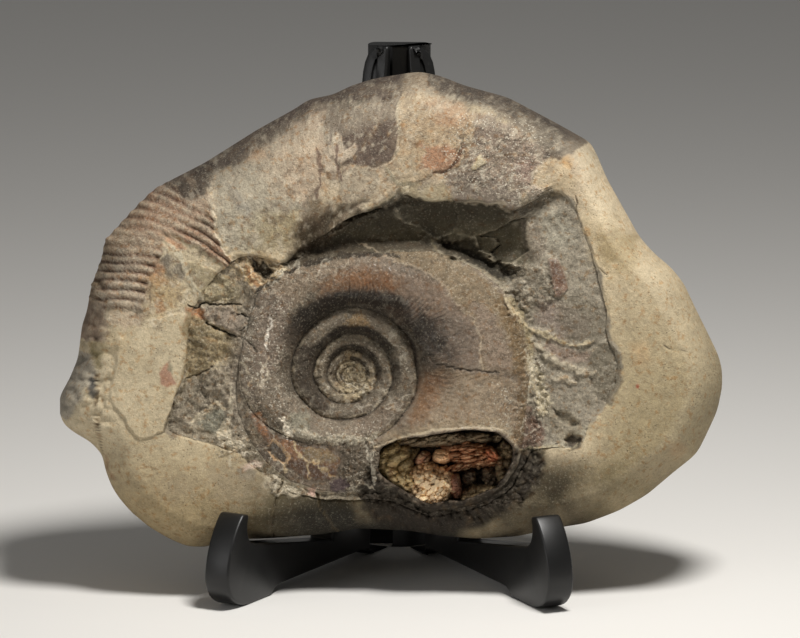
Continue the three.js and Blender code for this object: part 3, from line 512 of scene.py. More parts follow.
# Colours: what each outline is stained with, how strongly, softness, raggedness.
STAINS = [
    # left: ribbed shell, dark patches at the rim, the pale smooth patch, the plates
    (RIBBED_SHELL, "#9d7c63", 0.95, 0.3, 1.2),
    ([(-67.5, 36), (-68.1, 40.8), (-58.5, 48), (-49.5, 52.8), (-41.7, 57), (-33.3, 61.8),
      (-27.3, 65.4), (-16.5, 68.4), (-6.9, 72), (1.5, 75), (4.5, 75), (4.5, 64.2), (-3.3, 63.3),
      (-12.3, 62.1), (-18.3, 60.9), (-23.7, 59.1), (-28.5, 55.5), (-34.5, 51.6), (-41.7, 47.7),
      (-45.9, 44.4), (-50.7, 42), (-53.1, 39.6), (-54.3, 36), (-57.3, 33.9), (-60.3, 33),
      (-63.9, 34.8)], "#57493e", 0.9, 0.4, 1.4),
    ([(-93.3, 14.4), (-86.7, 21), (-78.3, 31.2), (-74.7, 34.2), (-78.9, 21), (-81.9, 12),
      (-83.7, 0.6), (-92.1, 1.2)], "#8d7a62", 0.65, 2.5, 2.5),
    ([(-87.3, 14.4), (-72.3, 16.5), (-69.3, 10.5), (-74.1, 3),
      (-86.1, 1.2)], "#b08f76", 0.6, 2, 3),
    ([(-65.4, 38.7), (-62.1, 39.6), (-58.5, 42), (-56.4, 44.7), (-53.7, 44.1), (-51.9, 42),
      (-53.1, 39.6), (-54, 36.9), (-57, 34.5), (-59.7, 33), (-62.4, 34.2),
      (-65.1, 36)], "#463a30", 0.95, 0.3, 1.4),
    ([(-62.4, 40.2), (-60.3, 40.8), (-59.1, 39), (-60.9, 37.8)], "#a08b74", 0.6, 0.6, 1.4),
    ([(-51.6, 44.7), (-48.6, 47.1), (-44.1, 49.8), (-41.1, 48), (-44.4, 44.7), (-48.3, 42.9),
      (-51.9, 42)], "#4d4139", 0.95, 0.3, 1.4),
    ([(-42.3, 48), (-38.7, 49.2), (-37.5, 46.8), (-40.5, 44.4),
      (-43.5, 44.1)], "#ad8a68", 0.6, 1, 1.6),
    ([(-52.2, 40.8), (-48.6, 42.6), (-44.1, 43.8), (-39.6, 44.7), (-32.7, 45.6), (-26.1, 45.6),
      (-23.4, 41.4), (-22.8, 36.9), (-22.8, 33.6), (-24.9, 30), (-26.7, 28.8), (-28.8, 29.4),
      (-30.6, 28.8), (-33.9, 27.3), (-35.1, 24.6), (-36.9, 22.8), (-38.4, 20.4), (-41.1, 18.9),
      (-44.1, 17.7), (-47.4, 18.3), (-49.8, 18.9), (-51.3, 22.8), (-52.2, 26.7),
      (-52.8, 32.4)], "#a29986", 0.9, 0.5, 1.4),
    ([(-36.3, 48), (-28.5, 51.6), (-22.5, 51), (-21.9, 42), (-23.7, 34.2), (-28.5, 31.8),
      (-34.5, 36), (-38.7, 42)], "#b09d85", 0.7, 3, 3),
    ([(-43.5, 28.8), (-36.3, 31.2), (-29.7, 28.8), (-31.5, 22.2), (-38.7, 17.4),
      (-44.7, 18)], "#a3977b", 0.7, 2.5, 3),
    ([(-49.5, 36), (-47.1, 36.6), (-44.7, 33), (-45.9, 31.2),
      (-48.3, 33)], "#857c6d", 0.6, 1.2, 1.2),
    ([(-36.9, 28.2), (-32.7, 30), (-28.5, 29.4), (-26.7, 25.2), (-30.3, 19.8), (-35.7, 18),
      (-38.7, 21)], "#97896a", 0.7, 1.8, 2.4),
    ([(-48.9, 14.4), (-44.1, 16.2), (-39.9, 17.4), (-35.7, 15.6), (-30.6, 12.6), (-33.3, 9.3),
      (-37.5, 7.2), (-41.7, 8.1), (-45.3, 9.9), (-48, 12)], "#a18a66", 0.7, 1.4, 2.6),
    ([(-44.1, 14.4), (-42.6, 14.1), (-40.2, 10.2), (-37.8, 8.1), (-40.5, 6.9),
      (-43.5, 9.6)], "#b07c4c", 0.6, 0.8, 1.4),
    (LEFT_HOLE, "#332c20", 0.9, 0.6, 1.2),
    ([(-61.5, 14.4), (-54, 12.3), (-46.8, 9.3), (-45.6, 4.2), (-49.5, 2.1), (-55.2, 2.1),
      (-60.3, 6)], "#978a6c", 0.85, 0.8, 1.6),
    ([(-67.8, 18.3), (-66.3, 16.8), (-66.3, 12.3), (-65.7, 9.3), (-68.1, 9.9), (-70.2, 12.3),
      (-69.3, 15.6)], "#575049", 0.8, 0.8, 1.8),
    ([(-65.4, 15.6), (-63, 14.4), (-61.8, 12.3), (-62.4, 9.3), (-64.8, 8.7),
      (-66, 11.7)], "#625a50", 0.75, 0.8, 1.8),
    ([(-70.5, 14.4), (-67.5, 9), (-69.9, 6.6), (-72.3, 9)], "#b06f45", 0.55, 0.8, 1.6),
    ([(-68.1, 21.6), (-66.3, 22.8), (-63.3, 21), (-61.5, 18), (-64.5, 18),
      (-66.9, 19.2)], "#a86f4c", 0.6, 0.6, 1.2),
    ([(-73.8, 8.7), (-69.9, 11.7), (-64.2, 8.7), (-63.3, 4.2), (-64.2, 0.3), (-69.3, -1.2),
      (-73.8, -1.8), (-74.4, 3.3)], "#a88f66", 0.65, 2.5, 2.2),
    ([(-71.4, 3), (-68.1, 3.6), (-67.5, -0.6), (-70.5, -1.2)], "#9a7350", 0.7, 0.5, 1.2),
    ([(-61.5, 0.3), (-57.6, 0.6), (-54.6, -1.2), (-56.4, -4.2), (-59.7, -5.7),
      (-61.8, -3.6)], "#a5734b", 0.9, 0.6, 1.2),
    (SHELL_PLATE, "#87796a", 0.8, 0.6, 1.2),
    ([(-92.1, 3.3), (-84.9, 3.3), (-85.2, -0.6), (-84.3, -5.4), (-84.9, -9.3), (-90.9, -9.3),
      (-94.5, -8.4), (-93.9, -3)], "#7a6757", 0.9, 0.4, 1.2),
    ([(-90.9, -9.3), (-85.5, -9.3), (-86.1, -13.8), (-87.3, -18.3), (-89.1, -16.8),
      (-90.6, -13.2)], "#847753", 0.9, 0.4, 1),
    ([(-83.7, -0.6), (-79.5, 0.6), (-74.1, -1.2), (-75.3, -4.8), (-80.1, -6),
      (-83.7, -4.2)], "#b9a288", 0.7, 0.8, 2),
    ([(-99.3, -12), (-93.9, -12), (-90.6, -13.2), (-88.2, -18.6), (-88.8, -23.4), (-90.9, -22.8),
      (-93.3, -27), (-95.1, -30.6), (-98.1, -33.3), (-101.1, -31.5), (-101.7, -26.1),
      (-99.9, -22.2)], "#918a7d", 0.9, 0.5, 1),
    ([(-90.6, -20.7), (-89.1, -20.4), (-88.5, -25.8), (-89.7, -26.7),
      (-90.9, -24)], "#4c4b4a", 0.9, 0.4, 0.6),
    ([(-86.1, -6), (-78.3, -6), (-78.3, -12.6), (-83.7, -13.8),
      (-86.7, -10.8)], "#b8a47f", 0.5, 2, 2),
    ([(-66.3, -15), (-65.4, -19.2), (-64.5, -22.2), (-66.9, -23.4), (-69, -22.2), (-69, -19.2),
      (-67.8, -16.8)], "#a37963", 0.85, 0.4, 0.8),
    ([(-66.6, -14.7), (-65.4, -16.8), (-65.1, -19.2), (-66.9, -18)], "#8b8a72", 0.7, 0.4, 0.6),
    # the broken ground left of the coil
    ([(-61.5, -0.6), (-53.7, -3.6), (-46.5, -7.8), (-44.7, -12.6), (-45.9, -16.2), (-53.7, -17.4),
      (-58.5, -20.4), (-62.1, -21.6), (-62.1, -11.4)], "#928262", 0.9, 0.6, 1.2),
    ([(-61.5, -4.8), (-56.1, -4.2), (-53.1, -7.8), (-56.1, -12),
      (-60.9, -12.6)], "#76694e", 0.6, 2, 2),
    ([(-67.5, -37.2), (-65.7, -28.2), (-62.1, -21), (-57.3, -19.2), (-53.1, -17.4), (-49.5, -19.2),
      (-50.7, -22.8), (-53.1, -27.6), (-57.3, -30.6), (-59.7, -35.4),
      (-64.5, -38.4)], "#857a68", 0.9, 0.5, 1.2),
    ([(-63.3, -23.4), (-58.5, -21.6), (-55.5, -24), (-58.5, -28.2),
      (-62.7, -29.4)], "#6f6656", 0.55, 1.6, 2),
    ([(-55.5, -30.6), (-50.7, -29.4), (-49.5, -34.2), (-50.7, -38.4), (-54.9, -36.6),
      (-57.9, -34.2)], "#7e7c6c", 0.8, 0.6, 1),
    ([(-50.1, -18.6), (-45.3, -16.8), (-43.5, -25.8), (-41.7, -33), (-38.7, -39), (-42.3, -40.2),
      (-46.5, -36), (-48.9, -27)], "#94876e", 0.7, 1.2, 1.6),
    ([(-52.5, -36.3), (-50.1, -33), (-47.7, -34.2), (-47.4, -39), (-42.3, -38.4), (-41.1, -40.8),
      (-45.3, -42.6), (-48.3, -43.8), (-48.9, -40.8), (-51.9, -39)], "#cbbda2", 0.8, 0.5, 1.6),
    ([(-45.9, -47.7), (-42.9, -47.1), (-40.2, -48.6), (-41.1, -51), (-44.7, -51),
      (-46.5, -49.2)], "#6f685a", 0.85, 0.5, 0.8),
    ([(-69.3, -50.4), (-64.5, -49.2), (-58.5, -51), (-59.7, -56.4), (-66.9, -57.6),
      (-70.5, -54.6)], "#9c8d72", 0.55, 3.5, 2),
    ([(-56.1, -48), (-48.3, -46.2), (-38.7, -48), (-36.3, -54.6), (-42.3, -59.4),
      (-53.1, -57)], "#a3947a", 0.4, 3, 2),
    # below the coil: calcite chambers, grey crumbs
    (CALCITE_CHAMBERS, "#6f5236", 0.95, 0.4, 0.8),
    ([(-42.9, -30.3), (-39.6, -30.3), (-37.5, -34.2), (-36.9, -37.8),
      (-39.9, -36.6)], "#9b6d48", 0.85, 0.5, 1.2),
    ([(-34.5, -38.1), (-29.7, -39.3), (-26.7, -41.7), (-26.4, -45), (-29.7, -44.4),
      (-33.3, -40.8)], "#916a4a", 0.8, 0.6, 1.2),
    ([(-37.5, -40.8), (-35.1, -44.7), (-31.5, -46.2), (-28.5, -48), (-25.5, -50.4), (-19.5, -51),
      (-16.2, -49.2), (-19.5, -46.8), (-24.9, -46.2), (-28.5, -45),
      (-30.9, -44.1)], "#4e341d", 0.85, 0.8, 0.8),
    (BROKEN_CHAMBER, "#4d4338", 0.9, 0.4, 0.4),
    ([(-26.7, -41.4), (-23.4, -40.8), (-18.6, -42), (-15.6, -44.4), (-17.1, -46.8), (-21.3, -45.9),
      (-24.9, -45.6)], "#85765a", 0.8, 0.6, 1.4),
    ([(-15.3, -39), (-4.5, -40.8), (-3.3, -48), (-3.9, -52.2), (-9.9, -55.2), (-14.7, -54.6),
      (-15.9, -49.8), (-14.7, -45.6)], "#625a4e", 0.85, 0.8, 2),
    ([(-18, -51.6), (-13.5, -50.4), (-12.3, -52.8), (-15.3, -54.9),
      (-18.6, -54)], "#4f4247", 0.85, 0.4, 1),
    ([(-38.1, -49.8), (-32.1, -50.4), (-26.1, -53.4), (-27.3, -56.4), (-33.3, -55.2),
      (-38.7, -52.8)], "#b9ad95", 0.6, 0.6, 1.6),
    ([(-24.9, -53.1), (-22.2, -53.7), (-22.8, -56.1), (-24.9, -55.5)], "#c9a795", 0.85, 0.4, 0.8),
    ([(-44.7, -47.1), (-41.7, -45.6), (-38.1, -45), (-38.7, -46.8), (-41.7, -48),
      (-44.4, -48.6)], "#c4ad9c", 0.7, 0.5, 1),
    # top: rim, dark shell, pale flakes, cream patch
    ([(-38.7, 54.6), (-28.8, 60.9), (-24.9, 63.6), (-17.4, 65.1), (-12, 67.8), (-5.1, 69.9),
      (3.9, 72), (3.9, 65.4), (2.1, 61.8), (-8.1, 63), (-17.1, 62.7), (-23.7, 60.9), (-28.5, 57),
      (-36.3, 52.2)], "#5c4e44", 0.85, 0.8, 1.4),
    ([(-34.8, 51), (-23.7, 60), (-19.5, 60), (-20.1, 48), (-21.9, 33), (-27.3, 31.2),
      (-31.5, 39)], "#b5a189", 0.7, 1.5, 2.5),
    ([(-22.5, 59.4), (-18.9, 59.4), (-18.9, 49.2), (-21.9, 48.6)], "#9d8a76", 0.5, 1, 2),
    (DARK_SHELL, "#5c4e44", 0.95, 0.3, 0.8),
    ([(-12.3, 59.4), (-3.3, 60.6), (0.3, 57), (-0.9, 48), (-6.3, 45.6),
      (-10.5, 51)], "#52443b", 0.5, 3, 2.5),
    (PALE_FLAKE, "#b0a08b", 0.95, 0.2, 0.6),
    (PALE_PATCH, "#a89a84", 0.9, 0.3, 1),
    ([(-22.5, 34.2), (-15.9, 36), (-14.1, 29.4), (-12.3, 27), (-18.3, 23.4), (-23.7, 22.2),
      (-26.1, 26.4)], "#9f9078", 0.7, 1.5, 2.5),
    (CREAM_PATCH, "#ac9678", 0.95, 0.3, 1.6),
    ([(2.7, 70.5), (8.7, 71.4), (13.5, 69.6), (17.1, 66), (14.7, 64.2), (9.3, 65.1),
      (3.9, 64.5)], "#a39178", 0.7, 0.8, 1.6),
    ([(10.5, 63), (17.7, 63), (23.7, 58.2), (22.5, 53.4), (17.1, 54.6),
      (11.7, 57.6)], "#a97f5d", 0.7, 2, 2.5),
    ([(9.3, 49.8), (15.9, 49.2), (19.8, 48.6), (20.4, 45.3), (17.1, 42.6), (12, 41.4), (8.7, 42),
      (10.5, 46.5)], "#a5795c", 0.8, 0.8, 1.8),
    ([(1.5, 45.6), (5.7, 48), (8.7, 44.4), (8.1, 39.6), (3.3, 37.2),
      (0.3, 39.6)], "#b5a58a", 0.6, 1.2, 1.8),
    ([(12.6, 70.2), (19.8, 68.4), (25.8, 66.6), (34.2, 63.9), (42.3, 60), (48.9, 56.7),
      (56.7, 52.2), (51.6, 48), (47.7, 48.3), (44.4, 52.8), (39, 55.8), (33, 60.9), (24.6, 61.5),
      (18.6, 64.8), (12.9, 68.1)], "#695b50", 0.9, 0.4, 1.2),
    (CREAM_FLAKE, "#b3a180", 0.8, 0.4, 1.4),
    ([(25.5, 58.2), (32.7, 56.4), (38.7, 54.6), (44.7, 52.2), (48.3, 48), (47.7, 46.2),
      (44.7, 43.2), (42.3, 39.6), (40.5, 36.6), (39.3, 31.2), (32.7, 33), (26.7, 33), (20.1, 33.6),
      (16.5, 37.2), (15.9, 41.4), (20.1, 43.2), (22.8, 45.9),
      (24.3, 51)], "#857668", 0.85, 0.5, 2),
    ([(16.5, 40.2), (23.7, 41.4), (32.7, 39.6), (38.7, 36), (38.1, 31.2), (31.5, 32.4),
      (20.1, 33.6)], "#7f7468", 0.6, 1.5, 2),
    ([(36.3, 45), (41.7, 45.6), (44.1, 42.6), (41.1, 39), (36.9, 40.2)], "#9a7f72", 0.5, 1.2, 1.6),
    ([(45.6, 50.7), (51.6, 50.7), (51.3, 47.7), (46.2, 47.7)], "#66615a", 0.85, 0.4, 0.8),
    ([(41.1, 37.2), (43.8, 38.1), (47.1, 36), (47.7, 32.7), (42.9, 31.8),
      (40.8, 34.5)], "#b9ab9a", 0.85, 0.4, 1),
    (PALE_CHIP, "#bfb190", 0.9, 0.2, 0.8),
    ([(2.7, 39), (8.1, 37.8), (15.9, 37.2), (19.5, 34.2), (14.7, 33.3), (6.9, 34.5),
      (2.7, 36)], "#a39578", 0.8, 0.8, 1.4),
    # right: the grey ledge, the fragment, rusty strip, crumbs
    ([(46.2, 36.6), (51.3, 35.4), (54.9, 31.8), (57.3, 25.5), (60.3, 17.4), (63.3, 9),
      (65.4, -0.6), (65.1, -7.2), (68.7, -10.5), (69.3, -16.5), (68.1, -23.4), (64.5, -29.4),
      (60.9, -33), (50.7, -39.9), (41.7, -41.1), (40.5, -33), (41.7, -22.5), (42.3, -14.4),
      (40.8, -7.2), (37.5, 0.6), (34.2, 6), (41.7, 10.5), (43.2, 18), (41.7, 25.2),
      (39.3, 29.4)], "#8f8675", 0.95, 0.5, 1.2),
    ([(43.5, 28.8), (50.7, 30.6), (54.9, 25.2), (56.1, 19.8), (50.7, 18),
      (45.9, 21)], "#9a9483", 0.7, 2, 2),
    ([(39.3, 26.4), (44.7, 25.8), (46.5, 19.2), (44.7, 14.4),
      (40.5, 16.2)], "#847868", 0.7, 1.2, 1.6),
    ([(35.1, 14.4), (43.5, 14.4), (48.3, 9), (49.5, 3), (44.7, 0), (38.7, 3),
      (34.5, 7.8)], "#6a6152", 0.7, 1.6, 2.2),
    ([(44.7, 3), (52.5, 1.8), (59.7, -2.4), (57.9, -7.8), (50.7, -8.4),
      (43.5, -3.6)], "#85756a", 0.7, 1.6, 2),
    (LOOSE_FRAGMENT, "#6b4f3d", 0.95, 0.3, 0.4),
    ([(44.7, -12), (52.5, -15.6), (58.5, -16.2), (60.3, -12.6), (54.3, -12.6),
      (47.7, -9)], "#8a7668", 0.7, 1, 1.4),
    (DARK_LOBE, "#6d6555", 0.85, 0.6, 1),
    ([(49.5, 3.6), (59.7, 3.6), (64.5, -1.8), (64.5, -8.4), (60, -11.1),
      (51.3, -9.6)], "#6f6757", 0.65, 1.6, 2),
    ([(39.9, -13.5), (42.9, -15), (45.3, -20.7), (48.3, -26.4), (47.7, -31.8), (45.3, -32.4),
      (43.5, -27.6), (41.7, -21)], "#c3b698", 0.85, 0.6, 1.8),
    ([(34.2, 4.2), (37.5, 3), (41.7, -6), (43.5, -13.8), (41.7, -15),
      (39.3, -6.6)], "#8b7c58", 0.7, 0.8, 1.4),
    ([(36.3, -27), (41.7, -28.8), (46.5, -36), (44.7, -40.8), (38.7, -41.7),
      (36.9, -36)], "#6c5345", 0.85, 0.8, 1.6),
    ([(47.1, -28.2), (52.5, -30), (57.9, -34.2), (56.1, -37.8), (50.7, -39),
      (47.1, -34.8)], "#8c826e", 0.7, 1, 1.6),
    (RIGHT_PIT, "#5b5044", 0.85, 0.4, 0.8),
    # the rind: stains, and painted shade in the gouge and along the coil's upper edge
    ([(57.9, 50.4), (62.7, 50.4), (64.5, 45), (59.7, 42), (54.3, 46.2),
      (55.5, 49.2)], "#d2c4a6", 0.4, 2.5, 1.5),
    ([(51, 45.9), (53.7, 46.5), (54.9, 43.8), (53.7, 42.3), (51.6, 43.2)], "#b98e58", 0.7, 0.7, 1),
    ([(45, 42.6), (49.5, 46.8), (53.7, 45), (54.9, 37.2), (50.7, 34.2),
      (44.7, 37.8)], "#cbb792", 0.5, 2, 2),
    ([(59.7, 25.8), (66.3, 27), (72.9, 22.2), (75.3, 15.6), (72.3, 10.2), (65.7, 11.4),
      (61.5, 16.2)], "#ad976c", 0.45, 5, 3),
    ([(63.9, 23.4), (70.5, 22.2), (71.7, 16.8), (66.3, 16.2)], "#9b8558", 0.35, 3, 3),
    ([(72.9, -9.9), (76.5, -10.2), (77.1, -15.6), (73.5, -16.2)], "#b89468", 0.4, 2.5, 2),
    ([(83.4, -39.9), (87.3, -39), (89.1, -41.4), (86.7, -44.4),
      (83.7, -43.8)], "#9c7a54", 0.5, 1.5, 1.5),
    ([(73.5, -44.4), (84.3, -42), (86.7, -46.8), (79.5, -52.2),
      (71.7, -50.4)], "#8f8063", 0.5, 3.5, 2),
    ([(73.5, -22.2), (74.7, -22.5), (74.4, -23.7), (73.5, -23.4)], "#8c4a34", 0.9, 0.2, 0.2),
    ([(89.1, -28.8), (90.6, -28.2), (90.9, -30.3), (89.4, -30.6)], "#7a6c50", 0.8, 0.3, 0.3),
    # painted shade in the left end of the gouge, in two steps
    ([(-26.7, 26.4), (-21.9, 29.4), (-13.8, 31.8), (-8.7, 31.8), (-12.3, 27.6), (-18.3, 21.6),
      (-23.7, 15.6), (-27.9, 13.8), (-30.3, 16.8), (-29.1, 21.6)], "#453929", 0.9, 3, 2.8),
    ([(-26.1, 31.2), (-22.5, 33.6), (-19.5, 31.8), (-20.7, 26.4), (-24.9, 23.4),
      (-27.9, 25.2)], "#594935", 0.7, 2, 2.4),
    ([(-50.7, 39), (-47.7, 37.8), (-43.5, 33), (-41.1, 28.8), (-43.5, 28.2),
      (-47.7, 33)], "#8a857a", 0.6, 1.2, 1.2),
    # painted shadow deep in the gouge's lower right, just above the coil
    ([(14.7, 22.2), (23.7, 18.9), (32.7, 14.7), (39.9, 10.2), (35.1, 7.8), (26.7, 12),
      (17.7, 16.2), (10.2, 18.3)], "#3a3428", 0.85, 1, 1.6),
    ([(-92.1, 14.4), (-87.3, 21), (-83.7, 18), (-86.1, 3), (-91.5, 3)], "#83735c", 0.6, 1.2, 3),
    ([(-81.9, 8.4), (-75.3, 10.2), (-73.5, 3), (-75.9, -1.8),
      (-81.9, -0.6)], "#b7a992", 0.6, 1.2, 3),
    ([(-82.5, 19.2), (-79.5, 21), (-75.3, 14.4), (-78.3, 11.4),
      (-82.5, 14.4)], "#a59a8a", 0.5, 1, 3),
    ([(11.7, 73.2), (20.7, 72), (27.3, 70.2), (36.3, 67.2), (47.1, 61.2), (58.5, 54), (59.1, 50.7),
      (54.9, 47.7), (50.7, 45), (46.8, 45.9), (45.6, 48.3), (41.7, 51.3), (36.9, 54.9),
      (31.8, 58.2), (26.7, 60.3), (20.7, 62.1), (15, 64.5),
      (11.1, 67.8)], "#52483f", 0.85, 0.4, 1.6),
    # painted shade along the coil's upper edge
    ([(-5.7, 21), (2.7, 21), (13.5, 20.1), (18.3, 18), (14.7, 15.9), (2.7, 17.4),
      (-4.5, 18)], "#3d3629", 0.85, 0.8, 1.4),
    # the dark bank between the gouge and the coil: painted shade along the coil's upper edge
    ([(-31.8, 14.4), (-27.3, 18), (-21.3, 20.1), (-13.8, 21.3), (-5.7, 21.6), (2.7, 21),
      (11.7, 20.1), (19.2, 17.4), (23.7, 14.4), (18.3, 15.6), (11.1, 17.1), (2.7, 17.7),
      (-4.8, 17.1), (-12.3, 16.5), (-19.8, 15), (-27.3, 12.6)], "#443b2d", 0.85, 1.2, 1.6),
    ([(-28.5, -12), (-26.1, -9), (-22.5, -12), (-21.9, -18.6), (-20.1, -24.6), (-17.7, -30),
      (-21.3, -31.2), (-25.5, -27), (-28.2, -21)], "#352d24", 0.85, 1.2, 2),
    ([(-21.9, -4.5), (-16.8, -0.6), (-11.7, 0.6), (-5.7, -0.6), (-0.9, -3.6), (2.7, -9),
      (0.3, -10.8), (-3.3, -6.6), (-7.8, -4.2), (-13.8, -3.6),
      (-18.3, -6)], "#857c6e", 0.8, 1, 1.4),
    (WORN_CENTRE, "#aca084", 0.75, 0.8, 1.8),
    ([(62.7, 24.6), (69.3, 25.2), (72.9, 21), (73.5, 14.4), (68.1, 12), (62.7, 15.6),
      (61.5, 21)], "#8f7c55", 0.55, 3, 3),
    ([(37.5, 34.2), (44.7, 35.4), (46.2, 31.2), (41.7, 28.2), (36.3, 28.8)], "#6f675a", 0.6, 1, 2),
]

# Veins, lines and rims of colour, and one painted shadow: line, width, colour, strength.
STREAKS = [
    (COIL_SEAM, 0.35, "#ac9c84", 0.55),
    ([(27, -9.6), (26.4, -13.8), (27.3, -18)], 0.5, "#b9a88f", 0.6),
    (COIL_CRACK, 0.6, "#4d4034", 0.75),
    (WHITE_VEIN, 0.9, "#e2d8c8", 0.95),
    ([(-36.6, -13.8), (-38.4, -18.6), (-39, -22.5)], 0.6, "#c9bda8", 0.7),
    ([(-46.5, -15), (-43.5, -16.8), (-41.7, -21), (-42.9, -24.3)], 0.5, "#c2b59c", 0.65),
    ([(-46.5, -15.6), (-45.9, -19.8), (-42.9, -24.3)], 0.5, "#5f5548", 0.6),
    ([(-39.9, -15), (-36.9, -17.4), (-37.5, -21), (-39.3, -23.4),
      (-40.5, -20.4)], 0.5, "#b7aa94", 0.6),
    ([(-45.3, -22.8), (-42.3, -25.8), (-39.9, -29.4)], 0.6, "#b7aa94", 0.6),
    ([(-48.9, -12.6), (-50.7, -15.6), (-54.9, -18.6), (-58.5, -21)], 0.9, "#a99d85", 0.6),
    (LEFT_VEIN, 1.2, "#bdb096", 0.85),
    ([(-48, -22.8), (-48.3, -30.6), (-49.5, -35.4), (-48.3, -42.6),
      (-48.3, -46.8)], 1.3, "#c9bda4", 0.75),
    (PLATE_VEIN, 1.5, "#c2b79d", 0.9),
    ([(-54, 33.6), (-53.1, 28.5), (-52.2, 22.8), (-50.1, 17.7),
      (-47.7, 14.4)], 0.9, "#d3c7ad", 0.7),
    ([(-43.5, 15.6), (-42.3, 11.7), (-40.8, 9.3), (-38.4, 8.1)], 0.7, "#dcc9a4", 0.85),
    ([(-45.3, 12.9), (-43.8, 9.6), (-41.4, 7.5)], 0.6, "#cdb68c", 0.8),
    ([(-35.7, 13.2), (-33.6, 11.1), (-31.5, 12.3), (-34.8, 9.3)], 0.7, "#dfd0b0", 0.8),
    # a painted shadow beneath the lip above the coil
    ([(-40.5, 5.4), (-36, 8.7), (-30.9, 11.4), (-24.3, 14.4), (-15.3, 16.2), (-5.1, 17.1),
      (2.7, 16.2)], 2, "#332b20", 0.85),
    ([(-32.4, -45.9), (-31.8, -48.6)], 0.6, "#cbb58f", 0.8),
    ([(-25.2, -46.5), (-24.6, -51)], 0.7, "#c6ae84", 0.85),
    ([(-29.7, -39.3), (-28.2, -42), (-26.7, -44.4), (-24.9, -45.9), (-22.2, -45.3), (-21.3, -47.4),
      (-19.5, -48)], 0.7, "#cdb78f", 0.85),
    ([(-36.6, -42.3), (-35.1, -44.7), (-31.5, -45.9), (-30.6, -44.1), (-32.7, -40.8), (-35.4, -39),
      (-36.9, -40.8)], 0.6, "#c9a67c", 0.8),
    ([(-21.3, -47.4), (-18.9, -49.2), (-17.1, -50.4)], 0.6, "#a58b60", 0.6),
    ([(-26.7, -41.4), (-23.1, -40.5), (-18.3, -41.7), (-15.3, -44.4)], 0.5, "#4b4034", 0.7),
    ([(-15.3, -44.4), (-15, -46.8), (-16.5, -49.8)], 0.5, "#4b4034", 0.6),
    ([(-32.3, -32.7), (-28.5, -36), (-24.6, -37.4), (-15.7, -39.3), (-6.8, -39.3),
      (-3.9, -36.9)], 3.8, "#b3a994", 0.75),
    ([(-33.9, -32.4), (-31.8, -33), (-32.1, -36), (-29.7, -37.8)], 1.6, "#e6dbc6", 0.95),
    ([(-7.5, -41.1), (-6.3, -44.7), (-5.4, -48.9), (-4.8, -52.8)], 1.4, "#bdb4a2", 0.75),
    ([(-12.3, -54), (-8.7, -52.2), (-5.1, -54)], 1, "#b0a794", 0.6),
    (SHELL_RIM, 0.4, "#b8aa92", 0.6),
    ([(-23.7, 60), (-17.1, 61.2), (-7.8, 61.8)], 0.8, "#5d4f45", 0.55),
    ([(-22.5, 48), (-21.6, 43.2), (-21.6, 37.8), (-22.5, 33.6)], 1.3, "#6a5446", 0.8),
    ([(-16.5, 49.8), (-16.8, 45.6), (-15.9, 42), (-14.4, 38.7)], 1, "#6f5a4d", 0.85),
    ([(-17.1, 49.2), (-15.9, 39.6), (-11.7, 43.2)], 0.6, "#6f5a4d", 0.5),
    ([(12, 40.8), (15.9, 41.7), (18.3, 43.2), (20.1, 45.6), (21.6, 49.8)], 0.9, "#6f4d38", 0.85),
    ([(20.1, 51), (22.5, 48), (21.9, 43.8)], 0.6, "#8a6a50", 0.6),
    ([(2.1, 61.8), (2.4, 54), (2.1, 48), (-0.3, 44.4)], 1, "#cfc2a8", 0.6),
    ([(-1.2, 43.2), (0.9, 39), (3.3, 36.9), (6.9, 37.8)], 1.2, "#cabfa4", 0.7),
    ([(3.3, 35.7), (7.5, 34.2), (12.3, 33.3), (18.3, 33.3)], 0.8, "#b8ab8e", 0.8),
    ([(19.8, 32.4), (25.8, 32.1), (31.5, 32.1), (36, 29.1), (39.9, 26.7)], 0.7, "#a79b86", 0.8),
    (GOUGE_VEIN, 0.9, "#a3957a", 0.5),
    (UPPER_VEIN, 1.6, "#c0b08f", 0.85),
    (MIDDLE_VEIN, 1.8, "#b7ab94", 0.85),
    (SHORT_VEIN, 1.6, "#b7ab94", 0.8),
    ([(38.4, -41.7), (45.6, -41.1), (50.7, -41.1), (53.7, -42.3),
      (57.3, -39.6)], 0.8, "#b5a98c", 0.7),
    ([(40.5, -12), (42.9, -18.6), (44.7, -25.8)], 1.2, "#d5cab0", 0.7),
    (RIM_CRACK, 0.9, "#8d7552", 0.75),
    (LOWER_CRACK, 0.5, "#5e5138", 0.8),
    (SECOND_CRACK, 0.6, "#5e5138", 0.8),
    ([(-61.5, -20.4), (-62.7, -24.6), (-65.7, -29.4), (-67.5, -36.6)], 0.8, "#5f543f", 0.75),
    ([(-5.1, -41.1), (3.3, -38.1), (12.9, -36), (21.9, -35.1), (31.8, -35.4), (35.1, -37.2),
      (38.1, -40.8)], 1, "#b1a287", 0.8),
    ([(11.7, 22.2), (13.5, 18), (21.3, 14.4)], 0.6, "#8f8468", 0.3),
    ([(-75.3, -47.4), (-71.7, -47.1), (-69.9, -48)], 0.6, "#94764e", 0.6),
    ([(-86.1, -43.8), (-85.5, -48), (-83.7, -51.6)], 0.8, "#8d6a48", 0.6),
]

